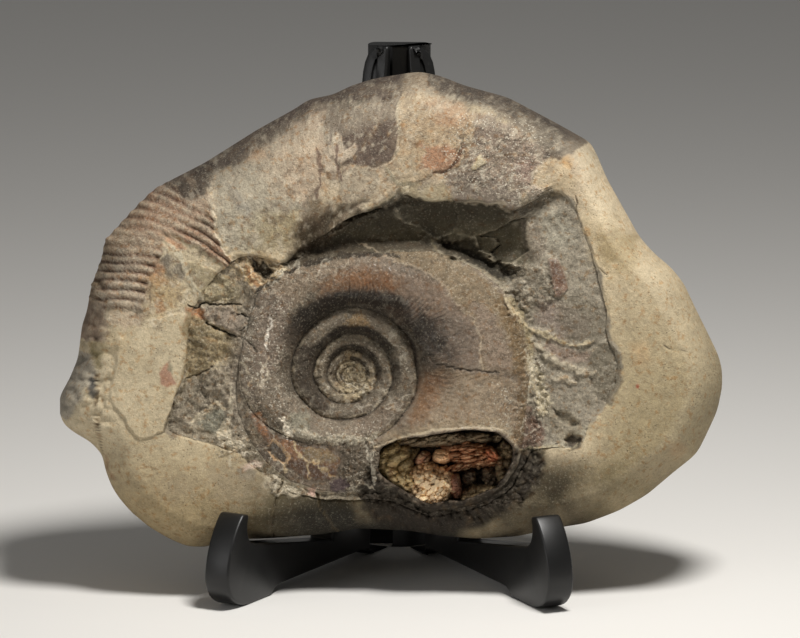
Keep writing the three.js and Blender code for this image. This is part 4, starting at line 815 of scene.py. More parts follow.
# Stains of the coil itself: outline, colour, strength, softness, raggedness.
COIL_STAINS = [
    ([(-1.2, 16.5), (5.1, 13.5), (9.9, 11.7), (15, 8.7), (18, 4.8), (20.4, 1.8), (24.3, -2.4),
      (26.1, -6.3), (27, -9.6), (26.7, -18), (37.2, -19.2), (41.1, -15.6), (39.3, -6), (35.1, 2.1),
      (29.7, 8.1), (23.7, 12.6), (17.1, 16.2), (8.7, 18.6), (-0.3, 18.6)], "#7e715c", 0.9, 0.6, 1),
    ([(23.7, 3), (28.5, 1.2), (33.9, -6), (36.9, -15), (35.7, -18.6), (28.5, -18),
      (26.7, -9)], "#85776a", 0.8, 1.8, 1.6),
    ([(3, 10.5), (8.7, 10.5), (15, 7.8), (19.2, 3), (23.7, -2.4), (25.8, -8.1), (26.4, -13.8),
      (24.9, -16.8), (18.6, -16.8), (13.8, -15), (10.5, -10.2), (8.7, -5.1), (6.3, 0),
      (3.3, 3.6)], "#796a5c", 0.95, 1, 1.2),
    ([(14.7, 0), (19.5, -0.6), (23.7, -5.4), (24.9, -12.6), (21.3, -15), (17.1, -10.8),
      (14.7, -5.4)], "#645a50", 0.8, 3.6, 2.1),
    ([(5.1, 4.2), (9.9, 3), (14.1, -2.4), (12.9, -6.6), (8.7, -4.8),
      (5.7, -0.6)], "#85705f", 0.6, 2.8, 2),
    ([(9.9, -18.6), (14.7, -17.4), (23.7, -19.2), (32.7, -19.8), (37.5, -21.6), (39.9, -27),
      (39.3, -34.8), (32.7, -36), (21.9, -35.4), (12.9, -36), (6.9, -36), (6.3, -32.4),
      (8.7, -28.2), (9.9, -23.4)], "#8c7d69", 0.95, 0.6, 1),
    ([(24.9, -22.2), (32.7, -21), (36.9, -25.8), (35.7, -33), (28.5, -34.2),
      (23.7, -28.2)], "#978975", 0.6, 2, 2),
    ([(9.9, -18), (16.2, -18.3), (17.7, -21), (14.7, -26.1), (11.7, -30), (9.6, -34.2), (6, -35.4),
      (3.9, -33), (6.9, -28.5), (8.7, -23.4)], "#80644a", 0.85, 2.6, 2),
    ([(10.5, -18.6), (14.1, -19.2), (12.3, -25.2), (8.7, -29.4),
      (7.5, -26.4)], "#835f40", 0.5, 2.8, 1.7),
    ([(-22.5, 7.2), (-17.4, 11.1), (-11.1, 12.9), (-3.6, 12.3), (1.2, 10.2), (3.6, 6.9),
      (1.5, 3.6), (-4.8, 3.9), (-11.1, 5.1), (-17.4, 4.5), (-21, 4.2)], "#76593f", 0.85, 2.4, 1.4),
    ([(-15.3, 10.2), (-8.1, 11.4), (-1.5, 9.9), (0.3, 6.9), (-5.7, 6),
      (-13.5, 6.3)], "#7c5432", 0.5, 2.8, 1.4),
    ([(-22.5, 4.2), (-16.5, 4.8), (-10.5, 4.8), (-4.5, 3.9), (1.5, 2.4), (5.1, -1.2), (2.1, -2.4),
      (-2.7, 0.3), (-9.3, 1.8), (-16.5, 1.8), (-21.3, 0.3)], "#4c3c2f", 0.85, 0.9, 0.8),
    ([(2.1, 3), (5.7, -1.2), (8.7, -6.6), (9.9, -12), (8.1, -17.4), (5.7, -12), (3.9, -6.6),
      (1.5, -1.2)], "#5a473a", 0.6, 1, 0.8),
    ([(-36.9, 7.8), (-30.3, 12), (-21.3, 14.4), (-12.3, 15.6), (-10.5, 14.4), (-18.3, 11.4),
      (-23.1, 7.2), (-27.3, 1.8), (-33.3, 0)], "#877968", 0.8, 1.2, 1.4),
    ([(-44.1, 3), (-36.9, 6.6), (-30.3, 3), (-29.7, -6), (-33.3, -15), (-38.7, -24.6),
      (-41.7, -30), (-45.3, -24), (-47.1, -12)], "#82766a", 0.85, 1.5, 2),
    ([(-43.5, -0.6), (-38.7, 1.2), (-33.3, -1.8), (-34.5, -10.2), (-40.5, -12.6),
      (-43.5, -7.8)], "#8e8174", 0.5, 2, 2),
    ([(-32.1, -2.4), (-27.3, -0.6), (-25.5, -6), (-28.5, -12.6),
      (-31.5, -10.2)], "#62574b", 0.6, 1.2, 1.6),
    ([(-41.7, -18), (-36.3, -18.6), (-30.3, -25.8), (-18.3, -33), (-3.3, -34.2), (-2.1, -37.2),
      (-15.3, -39), (-27.3, -36.6), (-36.3, -31.8), (-41.1, -25.8)], "#82786a", 0.85, 1.2, 1.6),
    ([(-29.7, -30.9), (-24.9, -30.9), (-23.7, -35.4), (-27.9, -37.2),
      (-31.5, -35.1)], "#8a897a", 0.75, 0.8, 1.4),
    ([(-10.5, -30), (-0.3, -27), (6.3, -28.2), (3.9, -34.2), (-3.3, -37.8),
      (-11.7, -36)], "#776a5d", 0.6, 2, 2),
    ([(-13.5, -1.6), (-10.5, -1.2), (-7.5, -2), (-6.9, -4.2), (-9.6, -5.4),
      (-12.9, -4.8)], "#a58a60", 0.6, 0.7, 2),
    ([(33.3, 4.8), (37.5, -2.4), (40.5, -12), (42, -22.2), (41.4, -33), (39.9, -40.8), (37.5, -39),
      (38.1, -30), (37.8, -21), (36.3, -12), (33.9, -3.6),
      (31.5, 1.8)], "#735f42", 0.75, 0.8, 1.4),
    ([(-5.1, -40.8), (3.3, -37.8), (12.9, -35.4), (21.9, -34.5), (32.1, -35.1), (38.1, -40.8),
      (38.1, -36), (32.7, -33), (17.7, -33), (8.7, -34.8), (-0.3, -36)], "#9d8f76", 0.6, 1.2, 1.2),
]

# Areas strewn with white specks: outline, amount.
SPECKLED = [
    ([(2.7, 10.5), (15, 8.7), (26.1, -6), (27.3, -18), (11.7, -15), (5.7, 0)], 0.35),
    (LOWER_FLANK, 0.75),
    ([(-45.3, 3), (-30.3, 3), (-30.3, -36), (-3.3, -33), (-3.3, -39), (-33.3, -39),
      (-45.3, -27)], 0.75),
    ([(-19.8, 0), (-1.8, -1.2), (4.2, -13.8), (-3.3, -30), (-22.8, -28.8), (-28.8, -15)], 0.5),
    ([(14.7, 60), (38.7, 58.5), (50.7, 48), (38.7, 31.5), (14.7, 36)], 0.8),
    ([(1.5, 63), (23.7, 61.5), (22.5, 45), (2.7, 37.2)], 0.45),
    ([(-30.9, -36), (-4.5, -37.2), (-4.5, -42), (-30.3, -40.2)], 1),
    ([(-15.3, -39.6), (-3.9, -40.8), (-3.3, -55.2), (-14.7, -55.2)], 0.8),
    ([(40.5, 37.8), (47.7, 37.8), (48.3, 31.8), (40.5, 31.8)], 1),
    ([(39.9, -13.5), (46.2, -15), (48.3, -31.5), (43.5, -31.5)], 1),
    ([(-52.5, -36), (-40.5, -36), (-40.5, -44.4), (-51.9, -43.8)], 0.9),
    ([(37.2, -28.2), (46.5, -30), (46.2, -41.4), (37.2, -41.4)], 0.6),
    ([(-87.3, 21), (-48.3, 36), (-45.3, 3), (-78.3, 0)], 0.3),
]

# Crumbly areas: outline, height of the crumbs, their size.
CRUMBLY = [
    (WORN_CENTRE, 0.7, 1.2),
    ([(-30.9, -36), (-4.5, -37.2), (-4.5, -41.4), (-30.3, -39.6)], 0.45, 1.1),
    ([(-15.3, -39.6), (-3.9, -40.8), (-3.3, -54.6), (-14.1, -55.2)], 0.7, 1.6),
    ([(-38.1, -49.8), (-27.3, -52.2), (-26.1, -56.4), (-36.3, -55.2)], 0.6, 1.8),
    ([(40.5, 37.8), (47.7, 37.8), (48, 31.8), (40.8, 31.8)], 0.6, 1),
    ([(39.9, -13.5), (45.3, -15), (48.3, -31.5), (44.1, -31.8)], 0.8, 1.5),
    ([(-52.5, -36), (-40.5, -36), (-40.5, -43.8), (-51.9, -43.2)], 0.7, 1.7),
    ([(34.2, 6), (41.7, -6), (43.5, -15), (40.5, -33), (38.7, -15), (34.5, 0)], 0.6, 1.6),
    ([(36.9, -28.2), (45.9, -30), (45.3, -41.4), (37.5, -41.4)], 0.6, 1.4),
    ([(-49.5, 16.2), (-30.3, 13.2), (-32.1, 7.8), (-46.5, 10.2)], 0.5, 1.4),
    ([(19.5, 59.4), (50.7, 51), (39.9, 31.8), (16.5, 37.2)], 0.22, 1.3),
    ([(35.1, 14.4), (47.1, 13.2), (49.5, 3), (38.7, 0)], 0.8, 1.9),
]

# Parts that shine a little: outline, gloss.
GLOSSY = [
    (CALCITE_CHAMBERS, 0.75),
    (LOOSE_FRAGMENT, 0.7),
    ([(-22.5, 12.6), (2.7, 14.4), (26.7, -6), (26.7, -18), (8.7, -12), (2.7, 3),
      (-21.3, 4.2)], 0.25),
    (LOWER_FLANK, 0.2),
]

# Where the stone below the open chamber is painted dark, as shade.
CHAMBER_FOOT = [
    (-6.6, -45.6), (-3.3, -50.4), (1.5, -53.4), (5.7, -55.8), (10.2, -58), (16.2, -57.3),
    (24.3, -55.5), (31.2, -52.5), (34.8, -48.6), (36.6, -44.1), (38.7, -40.8), (44.7, -40.8),
    (46.5, -45), (45, -51), (39, -58.5), (30, -64.5), (15, -67.5), (0, -66), (-8.4, -61.5),
    (-9.6, -54.6),
]

# Where remains of shell cover the stone above the coil.
SHELLY = [
    (-90.9, 3), (-88.8, 21), (-79.8, 33), (-63.3, 43.5), (-42.3, 58.5), (-12.3, 69.6),
    (11.7, 73.2), (38.7, 63.6), (55.2, 52.5), (49.5, 42), (47.7, 36), (32.7, 34.2), (11.7, 36),
    (-1.8, 31.5), (-16.8, 23.4), (-27.3, 15.6), (-40.8, 14.4), (-49.8, 12.6), (-57.3, 3),
    (-61.8, -3), (-72.3, -6), (-84.3, -6),
]

# Where pale streaks run down the dark shell.
DRIPPED = [
    (-38.7, 54.6), (-27.3, 63), (-15.3, 66.6), (3.3, 70.8), (3.3, 51), (-3.3, 47.4), (-12.3, 51),
    (-18.3, 49.2), (-21.3, 40.2), (-27.3, 37.8), (-33.3, 43.8),
]

# How rough each part is: height of lumps, of fine unevenness, and depth of pores.
ROUGHNESS = {
    "coil": (0.3, 0.2, 0.25), "ground": (0.35, 0.26, 0.25), "surface": (0.12, 0.06, 0.16),
}


# ---- heights of the face -------------------------------------------------------------
def seam_radius(turns):
    """How far from the hub the seam between two whorls is after some turns."""
    return FIRST_SEAM * GROWTH ** turns * squeeze(turns * FULL_TURN)


def seam_depth(turns):
    """Height of that seam: lowest at the hub, and the highest at the outer whorl."""
    return -UMBILICUS_DEPTH * (1 - GROWTH ** (turns - FULL_TURNS - 0.7))


def whorl_profile(t, shoulder):
    """A whorl across its width: a steep inner wall, a shoulder and a long flank."""
    inner = np.sqrt(np.clip(1 - (1 - t / shoulder) ** 2, 0, 1))
    outer = np.cos(math.pi / 2 * np.clip((t - shoulder) / (1 - shoulder), 0, 1) ** 1.5)
    return np.where(t < shoulder, inner, outer)


def whorls_at(u, v):
    """For points of the coil: the whorl's number, how far across it, the turn and the width."""
    radius, angle = around_hub(u, v)
    turn = angle / FULL_TURN
    edge = coil_edge(angle)
    seams = [seam_radius(k + turn) for k in range(-INNER_TURNS, FULL_TURNS + 1)]
    seams[-1] = mix(seams[-1], edge, smooth(0.56, 0.82, turn))
    seams = np.array([*seams, edge])
    whorl = (radius >= seams).sum(0) - 1 - INNER_TURNS
    last = np.where(edge - seams[-2] < 0.3, FULL_TURNS - 1, FULL_TURNS)
    whorl = np.minimum(whorl, last)
    here = np.maximum(whorl + INNER_TURNS, 0)[None]
    inner = np.take_along_axis(seams, here, 0)[0]
    outer = np.take_along_axis(seams, here + 1, 0)[0]
    across = np.clip((radius - inner) / np.maximum(outer - inner, 0.1), 0, 1)
    across = np.where(whorl < -INNER_TURNS, radius / seams[0], across)
    return whorl, across, turn, outer - inner


def coil_height(u, v):
    """The whorls as steps that climb from the umbilicus, each a swollen band."""
    whorl, t, turn, width = whorls_at(u, v)
    margin = whorl_margin(turn * FULL_TURN)
    worn = smooth(0.36, 0.46, turn) * (1 - smooth(0.76, 0.9, turn))
    inner = seam_depth(whorl + turn)
    outside = mix(inner, margin, t ** 0.8)
    outside = outside + LAST_SWELL * width * (1 - 0.8 * worn) * whorl_profile(t, 0.34)
    last = np.where(whorl == FULL_TURNS - 1, smooth(0.5, 1, turn), 0)
    outer = mix(seam_depth(whorl + 1 + turn), margin, last)
    swell = mix(WHORL_SWELL, LAST_SWELL, last) * width * np.where(whorl < 0, 0.7, 1)
    within = mix(inner, outer, t) + swell * whorl_profile(t, 0.36)
    height = np.where(whorl == FULL_TURNS, outside, within)
    knob = seam_depth(turn - INNER_TURNS) + KNOB_HEIGHT * (1 - t ** 2)
    return np.where(whorl < -INNER_TURNS, knob, height)


def growth_lines(u, v):
    """Fine lines that radiate across the whorls and bend forward on the flank."""
    whorl, t, turn, _ = whorls_at(u, v)
    bend = 1.6 * (t - 0.25) ** 2  # how far a line runs forward on the flank
    phase = GROWTH_LINES * (turn + 0.05 * bend) + 0.8 * noise(u, v, 4, 3)
    lines = np.sin(FULL_TURN * phase) + 0.5 * np.sin(FULL_TURN * (2 * phase + noise(u, v, 7, 4)))
    lines = lines * (0.5 + 0.5 * noise(u, v, 3, 5))
    fresh = bump_at(0.1, 0.26, (turn + 0.5) % 1 - 0.5) + 0.15
    across = smooth(0.02, 0.12, t) * (1 - 0.85 * smooth(0.5, 0.8, t))
    faint = 0.25 * (whorl < FULL_TURNS)
    patchy = smooth(-0.7, 0.3, noise(u, v, 6, 6))
    return lines * across * patchy * np.where(whorl == FULL_TURNS, fresh, faint) * (whorl >= 0)


def chamber_hole(u, v):
    """1 inside the broken body chamber, 0 outside it."""
    du, dv = u - CHAMBER_HUB[0], v - CHAMBER_HUB[1]
    inset = chamber_edge(np.arctan2(du, dv) % FULL_TURN) - np.hypot(du, dv)
    return smooth(0, 0.8, inset)


def ground_height(u, v):
    """The broken ground round the coil: a gouge of flat flakes above it, ledges beside it."""
    radius, angle = around_hub(u, v)
    coil, edge = coil_edge(angle), ground_edge(angle)
    t = np.clip((radius - coil) / np.maximum(edge - coil, 0.5), 0, 1)
    level = mix(ground_inner(angle), ground_outer(angle), t)
    flakes = np.max([
        base + along_u * (u - cu) + along_v * (v - cv)
        for cu, cv, base, along_u, along_v in GOUGE_FLAKES
    ], axis=0)
    flakes = flakes + 0.6 * (bowls(u, v, 9, 21) - 0.4) + 0.1 * (bowls(u, v, 3.4, 22) - 0.4)
    in_gouge = gouge_share(u, v)
    rough = smooth(2, 4, edge - coil)
    rugged = 0.7 * (bowls(u, v, 6.5, 31) - 0.4) + 0.3 * (bowls(u, v, 2.6, 32) - 0.4)
    rugged = rugged + 0.9 * fractal(u, v, 7, 33)
    rugged = rugged * mix(1, 1.7, smooth(10, -20, u)) * mix(1, 0.35, smooth(40, 48, u))
    return mix(level + rough * rugged, np.minimum(flakes, -0.6), in_gouge)


def gouge_share(u, v):
    """1 in the deep gouge above the coil, 0 on the ledges at its sides."""
    return np.clip(0.5 - closed_distance(u, v, GOUGE) / 3, 0, 1)


def surface_height(radius, angle):
    """The whole outer surface, from the edge of the broken ground to the stone's edge."""
    ground, stone = ground_edge(angle), stone_edge(angle)
    u, v = face_point(radius, angle)
    inset = np.clip((stone - radius) / edge_roll(angle), 0, 1)
    rounding = np.sqrt(1 - (1 - inset) ** 2)
    across = np.clip((radius - ground) / (stone - ground), 0, 1)
    top = surface_inner(angle) + 1.5 * np.sin(math.pi * across) + 0.45 * noise(u, v, 11, 41)
    top = top - 0.45 * (1 - smooth(0, 0.9, radius - ground))  # the broken edge is blunt
    slide = bump_at(-0.33, 0.3, angle_off(angle))
    top = top - GOUGE_SLIDE * slide * (1 - smooth(0, 9, radius - ground))
    return mix(edge_level(angle), top, rounding)


def back_height(radius, angle):
    """The nodule's back: rounded at its edge, with knocks and shallow hollows."""
    reach = radius / stone_edge(angle)
    u, v = face_point(radius, angle)
    rounding = np.sqrt(1 - np.clip((reach - 0.62) / 0.38, 0, 1) ** 2.4)
    knocks = 1.3 + 1.2 * noise(u, v, 18, 51) + 1.2 * (bowls(u, v, 15, 52) - 0.3)
    knocks = knocks * smooth(0, 0.3, reach) * smooth(0, 0.25, rounding)
    return mix(edge_level(angle), BACK + np.maximum(knocks, 0), rounding)


# ---- marks on the face ---------------------------------------------------------------
def off_line(u, v, start, end):
    """How far along a straight stretch points lie, 0 to 1, and how far off it, each way."""
    (pu, pv), (du, dv) = start, end - start
    t = np.clip(((u - pu) * du + (v - pv) * dv) / (du * du + dv * dv), 0, 1)
    return t, u - pu - t * du, v - pv - t * dv


def closed_distance(u, v, points):
    """Distance to a closed outline, negative inside it."""
    p = np.array(points, float)
    nearest = np.full(u.shape, 1e9)
    inside = np.zeros(u.shape, bool)
    for start, end in zip(p, np.roll(p, -1, axis=0)):
        _, off_u, off_v = off_line(u, v, start, end)
        nearest = np.minimum(nearest, off_u ** 2 + off_v ** 2)
        (pu, pv), (du, dv) = start, end - start
        if dv:
            inside ^= ((pv > v) != (end[1] > v)) & (u < pu + du * (v - pv) / dv)
    return np.where(inside, -1, 1) * np.sqrt(nearest)


class Points:
    """Points of the face, with the wander that gives marks their ragged edges: fine is about
    how many millimetres the finest of it is across."""

    def __init__(self, u, v, fine=0.8):
        self.u, self.v = u, v
        self.wander_u = 0.6 * fractal(u, v, 3.2 * fine, 61, 2) + 0.5 * noise(u, v, fine, 62)
        self.wander_v = 0.6 * fractal(u, v, 3.2 * fine, 63, 2) + 0.5 * noise(u, v, fine, 64)
        self.thinning = 0.15 + 0.85 * smooth(-0.6, 0.2, noise(u, v, 2.1, 65))

    def _near(self, points, margin):
        p = np.array(points, float)
        low, high = p.min(0) - margin, p.max(0) + margin
        return (
            (self.u > low[0]) & (self.u < high[0]) & (self.v > low[1]) & (self.v < high[1])
        ).nonzero()

    def _torn(self, near, ragged):
        return (
            self.u[near] + ragged * self.wander_u[near],
            self.v[near] + ragged * self.wander_v[near],
        )

    def inside(self, points, soft=0.4, ragged=1.0):
        """1 inside a closed outline, 0 outside it."""
        share = np.zeros_like(self.u)
        near = self._near(points, soft + 2 * ragged)
        share[near] = 1 - smooth(-soft, soft, closed_distance(*self._torn(near, ragged), points))
        return share

    def along(self, points, width, soft=0.3, ragged=0.5):
        """1 on a line of a width, tapering to nothing at its ends."""
        share = np.zeros_like(self.u)
        near = self._near(points, width + soft + 2 * ragged)
        u, v = self._torn(near, ragged)
        p = np.array(points, float)
        steps = np.hypot(*(p[1:] - p[:-1]).T)
        total, done = steps.sum(), 0.0
        best = np.zeros_like(u)
        for start, end, step in zip(p[:-1], p[1:], steps):
            t, off_u, off_v = off_line(u, v, start, end)
            reach = (done + t * step) / total
            half = width / 2 * np.clip(4 * reach * (1 - reach) + 0.35, 0, 1)
            half = half * self.thinning[near]
            best = np.maximum(best, 1 - smooth(half, half + soft, np.hypot(off_u, off_v)))
            done += step
        share[near] = best
        return share


def shade(code):
    """A colour's linear red, green and blue."""
    parts = [int(code[i:i + 2], 16) / 255 for i in (1, 3, 5)]
    return np.array([c / 12.92 if c < 0.04045 else ((c + 0.055) / 1.055) ** 2.4 for c in parts])


def stain(tint, share, code):
    """Takes tint towards a colour by a share, in place."""
    tint += (shade(code) - tint) * np.clip(share, 0, 1)[:, None]


def stain_shapes(tint, points, shapes):
    for shape, code, share, soft, ragged in shapes:
        stain(tint, share * points.inside(shape, soft, ragged), code)


def rib_phase(u, v):
    """How many rib spacings up the ribbed shell points are, along the drooping ribs."""
    along = u - RIB_START
    droop = RIB_DROOP[0] * along + RIB_DROOP[1] * np.maximum(along, 0) ** 2
    droop = np.where(along > 0, droop, 0.03 * along)
    wander = 0.6 * noise(u, v, 9, 71) + 0.22 * noise(u, v, 2.5, 73)
    return (v + droop + wander) / RIB_SPACING


def ribs(u, v):
    """Rounded ribs with narrow grooves between them, 0 in the grooves and 1 on the ribs."""
    wave = rib_phase(u, v)
    sharp = np.abs(np.sin(math.pi * wave)) ** 1.1
    split = np.abs(np.sin(math.pi * (2 * wave + 0.3))) ** 0.5
    twin = smooth(0, 0.5, noise(u, v, 11, 72))
    worn = 0.55 + 0.45 * smooth(-0.7, 0.1, noise(u, v, 7, 74))
    return 1 - worn * (1 - sharp * mix(1, 0.55 + 0.45 * split, twin))


def hairlines(u, v, size, seed):
    """Thin wandering lines, as of scratches and fine cracks."""
    here = smooth(-0.1, 0.35, noise(u, v, 3 * size, seed + 1))
    return here * (1 - smooth(0.015, 0.08, np.abs(fractal(u, v, size, seed, 3))))


def relief(points, part):
    """What the marks add to the height of the face, and how rugged it is."""
    u, v = points.u, points.v
    height = np.zeros_like(u)
    for shape, rise, soft, ragged in LAYERS:
        height += rise * points.inside(shape, soft, ragged)
    for shape, depth, soft, ragged in HOLLOWS:
        height -= depth * points.inside(shape, soft, ragged)
    for line, width, depth in CRACKS:
        height -= depth * points.along(line, width * 0.6, 0.35, 0.6)
    lumpy = 0.6 + 0.4 * noise(u, v, 1.7, 81)
    for line, width, rise in RIDGES:
        height += rise * lumpy * points.along(line, width, 0.9, 0.9)
    for shape, rise, size in CRUMBLY:
        crumbs = grains(u, v, size, 82) + 0.5 * grains(u, v, size * 0.45, 83)
        height += rise * crumbs * points.inside(shape, 0.9, 2.0)
    ribbed = points.inside(RIBBED_SHELL, 0.5, 1.0)
    height += ribbed * 0.9 * (ribs(u, v) - 0.6)
    shelly = points.inside(SHELLY, 3, 2)
    height += shelly * (0.12 * fractal(u, v, 1.6, 75, 2) + 0.1 * hairlines(u, v, 3.5, 76))
    lumps, unevenness, pits = ROUGHNESS[part]
    height += lumps * fractal(u, v, 3.2, 84)
    height += unevenness * fractal(u, v, 1.1, 85, 2)
    foot = points.inside(CHAMBER_FOOT, 1.5, 1.5)
    height += foot * (1.0 * shards(u, v, 2.3, 126)[0] + 0.5 * shards(u, v, 0.9, 127)[0] - 0.5)
    calm = 1 - 0.75 * points.inside(GOUGE, 1.5, 1.0)
    if part == "ground":
        chips, _ = shards(u, v, 2.6, 88)
        height += mix(0.2, 0.55, smooth(20, -20, u)) * calm * (chips - 0.3)
    height += 1.1 * smooth(-80, -89, u) * (shards(u, v, 2.4, 119)[0] - 0.6)
    pores = smooth(0.62, 0.85, noise(u, v, 0.9, 86)) * smooth(0, 0.4, noise(u, v, 7, 87))
    return height - pits * pores


def low_share(u, v):
    """1 along the foot of the face, where the rind is darker: partly duller stone, partly painted
    shade; 0 above it.
    """
    return smooth(-30, -62, v + 0.12 * u * smooth(0, 40, u))


def rind_tint(u, v):
    """Colour of the plain rind: cream, and darker towards the foot and the right, the foot partly
    as painted shade.
    """
    tint = np.tile(shade("#c9b899"), (len(u), 1))
    stain(tint, smooth(-30, -70, u), "#bfb092")
    stain(tint, low_share(u, v), "#a08e6b")
    # The next stains darken the foot of the face: painted shade, where it rolls under away from
    # the light.
    stain(tint, smooth(-44, -64, v) * smooth(-55, -15, u), "#70633f")
    shaded = smooth(-34, -54, v + 0.12 * np.maximum(u, 0)) * smooth(-62, -30, u)
    stain(tint, 0.9 * shaded, "#4c432e")
    stain(tint, smooth(-50, -63, v) * smooth(-50, -20, u) * smooth(75, 35, u), "#211d13")
    stain(tint, 0.95 * smooth(-38, -52, v) * smooth(32, 44, u) * smooth(86, 64, u), "#352d1c")
    stain(tint, 0.3 * smooth(30, 0, v) * smooth(55, 75, u), "#a08f6c")
    stain(tint, 0.75 * smooth(22, -36, v) * smooth(50, 75, u), "#8b7d5c")
    stain(tint, smooth(22, 50, v) * smooth(64, 52, u), "#a89680")
    stain(tint, 0.5 * smooth(0, 0.8, fractal(u, v, 16, 91)), "#b5a483")
    return tint


def paint_ground(points, tint):
    """Grey broken rock, lighter at the right."""
    u, v = points.u, points.v
    right = smooth(36, 46, u)
    stain(tint, np.ones(len(u)), "#8f8470")
    stain(tint, right, "#a29a86")
    stain(tint, 0.6 * right * smooth(0, 0.6, fractal(u, v, 3.5, 108)), "#8d8574")


def paint_gouge(points, tint, gouge):
    """The dark grey rock of the gouge's floor, with a painted shadow along its upper side under
    the lip.
    """
    u, v = points.u, points.v
    stain(tint, gouge, "#544d3b")
    stain(tint, gouge * smooth(-0.3, 0.6, fractal(u, v, 6, 92)), "#433d2f")
    # painted shadow along the gouge's upper side, under the lip
    stain(tint, 0.8 * gouge * smooth(22, 30, v), "#383226")


def paint_whorls(points, tint):
    """Stains, painted shade in the inner walls, lines, seams and rims of the whorls. Gives back
    how silky the shell is.
    """
    u, v = points.u, points.v
    stain_shapes(tint, points, COIL_STAINS)
    tint *= (1 + 0.2 * growth_lines(u, v))[:, None]
    shaded_walls(points, tint)
    whorl_rims(points, tint)
    tint *= np.array([0.97, 0.92, 0.86]) * mix(1, 0.92, smooth(-18, -30, u))[:, None]
    whorl, t, _, _ = whorls_at(u, v)
    silky = (whorl == FULL_TURNS) * smooth(0.75, 0.45, t) * smooth(-26, -16, u)
    return np.maximum(silky, smooth(0.12, 0.05, tint[:, 1]))


def scratch(points, tint, grain):
    """Pale and dark hairlines where the stone is grainy."""
    u, v = points.u, points.v
    scratched = np.clip(grain - 0.3, 0, 1)
    stain(tint, 0.75 * scratched * hairlines(u, v, 4.5, 98), "#d6cdb8")
    stain(tint, 0.5 * scratched * hairlines(u, v, 2.2, 89), "#c9bfa8")
    stain(tint, 0.9 * scratched * hairlines(u, v, 3.1, 105), "#3d342a")


def paint(points, part, hollows):
    """Colour of the face, with the amounts of white specks, grain and gloss."""
    u, v = points.u, points.v
    tint = rind_tint(u, v)
    chalk = np.full(len(u), 0.06)
    grain = np.full(len(u), 0.35)
    gloss = np.zeros(len(u))
    if part == "ground":
        paint_ground(points, tint)
        grain[:] = mix(0.95, 0.7, smooth(30, 50, u))
    if part == "coil":
        paint_coil(points, tint)
        chalk[:] = 0.22
        grain[:] = mix(0.75, 1.0, smooth(-22, -34, u))
    else:
        gouge = gouge_share(u, v)
        paint_gouge(points, tint, gouge)
        grain = mix(grain, 0.4, gouge)
    stain_shapes(tint, points, STAINS)
    shelly = points.inside(SHELLY, 3, 2)
    stain(tint, 0.5 * shelly * smooth(0.1, 0.4, fractal(u, v, 2.4, 123)), "#6f5f4e")
    stain(tint, 0.4 * shelly * smooth(0.15, 0.4, fractal(u, v, 1.5, 124)), "#cbbfa8")
    if part == "coil":
        silky = paint_whorls(points, tint)
        grain *= 1 - 0.45 * silky
    if part != "surface":
        joined_edge(points, tint)
    # painted shade below the open chamber
    foot = points.inside(CHAMBER_FOOT, 1.5, 1.6)
    stain(tint, 0.95 * foot, "#231b10")
    stain(tint, 0.35 * foot * smooth(0.1, 0.6, fractal(u, v, 2.2, 128)), "#5a4830")
    grain, chalk = mix(grain, 0.2, foot), mix(chalk, 0, foot)
    ribbed = points.inside(RIBBED_SHELL, 0.5, 1.0)
    paint_ribs(points, tint, ribbed)
    drips = smooth(0.1, 0.7, noise(u, 0.15 * v, 0.9, 112)) * smooth(-0.6, 0.2, noise(u, v, 5, 116))
    stain(tint, 0.14 * drips * points.inside(DRIPPED, 1.5, 2.0), "#a39580")
    for line, width, code, share in STREAKS:
        stain(tint, share * points.along(line, width * 0.8, 0.35, 0.9), code)
    # painted shade inside the cracks, broken up along them
    broken_up = smooth(-0.5, 0.3, noise(u, v, 1.9, 106))
    for line, width, _ in CRACKS:
        stain(tint, 0.7 * broken_up * points.along(line, width * 0.35, 0.3, 0.7), "#30281f")
    for shape, amount in SPECKLED:
        chalk = np.maximum(chalk, amount * points.inside(shape, 1.2, 2.5) * (1 - foot))
    for shape, _, _ in CRUMBLY:
        grain = np.maximum(grain, points.inside(shape, 1.0, 2.0) * (1 - foot))
    for shape, amount in GLOSSY:
        gloss = np.maximum(gloss, amount * points.inside(shape, 0.6, 0.6))
    chalk = chalk * (1 - 0.9 * smooth(0.3, 0.7, gloss))
    if part == "coil":
        chalk = chalk * (1 - 0.6 * silky)
    grain = np.maximum(grain, 0.6 * shelly + 0.25 * ribbed)
    mottle = 1 + 0.10 * fractal(u, v, 5, 94) + (0.1 + 0.3 * grain) * fractal(u, v, 1.3, 95)
    tint *= mottle[:, None]
    scratch(points, tint, grain)
    if part == "surface":
        # painted shade on the rounded top edge of the surface, where it curves over
        radius, angle = around_hub(u, v)
        rim = smooth(1.25 * edge_roll(angle), 0, stone_edge(angle) - radius)
        tint *= (1 - 0.5 * rim * smooth(0.62, 0.78, np.cos(angle)))[:, None]
    # painted shade in the hollows, and a painted highlight on what stands up
    hollow_shade = smooth(0.05, 1.2, hollows)
    tint *= (1 - 0.55 * hollow_shade)[:, None]
    crest_highlight = smooth(0.05, 0.7, -hollows)
    stain(tint, 0.22 * crest_highlight * (1 - low_share(u, v)), "#d8cbb0")
    return np.clip(tint, 0.002, 0.9), chalk, grain, gloss


def paint_ribs(points, tint, ribbed):
    """Brown grooves and pale crests on the ribbed shell."""
    u, v = points.u, points.v
    groove = 1 - ribs(u, v)
    stain(tint, 0.6 * ribbed * smooth(0.1, 0.5, fractal(u, v, 6, 109)), "#85735c")
    stain(tint, 0.5 * ribbed * smooth(0.1, 0.5, fractal(u, v, 4, 110)), "#b3a48e")
    stain(tint, 0.85 * ribbed * smooth(0.35, 0.85, groove), "#5e412f")
    crests = smooth(0.2, 0.02, groove) * smooth(-0.2, 0.4, noise(u, v, 2.5, 93))
    stain(tint, 0.6 * ribbed * crests, "#cbb79c")
    tint *= 1 - 0.12 * ribbed[:, None]


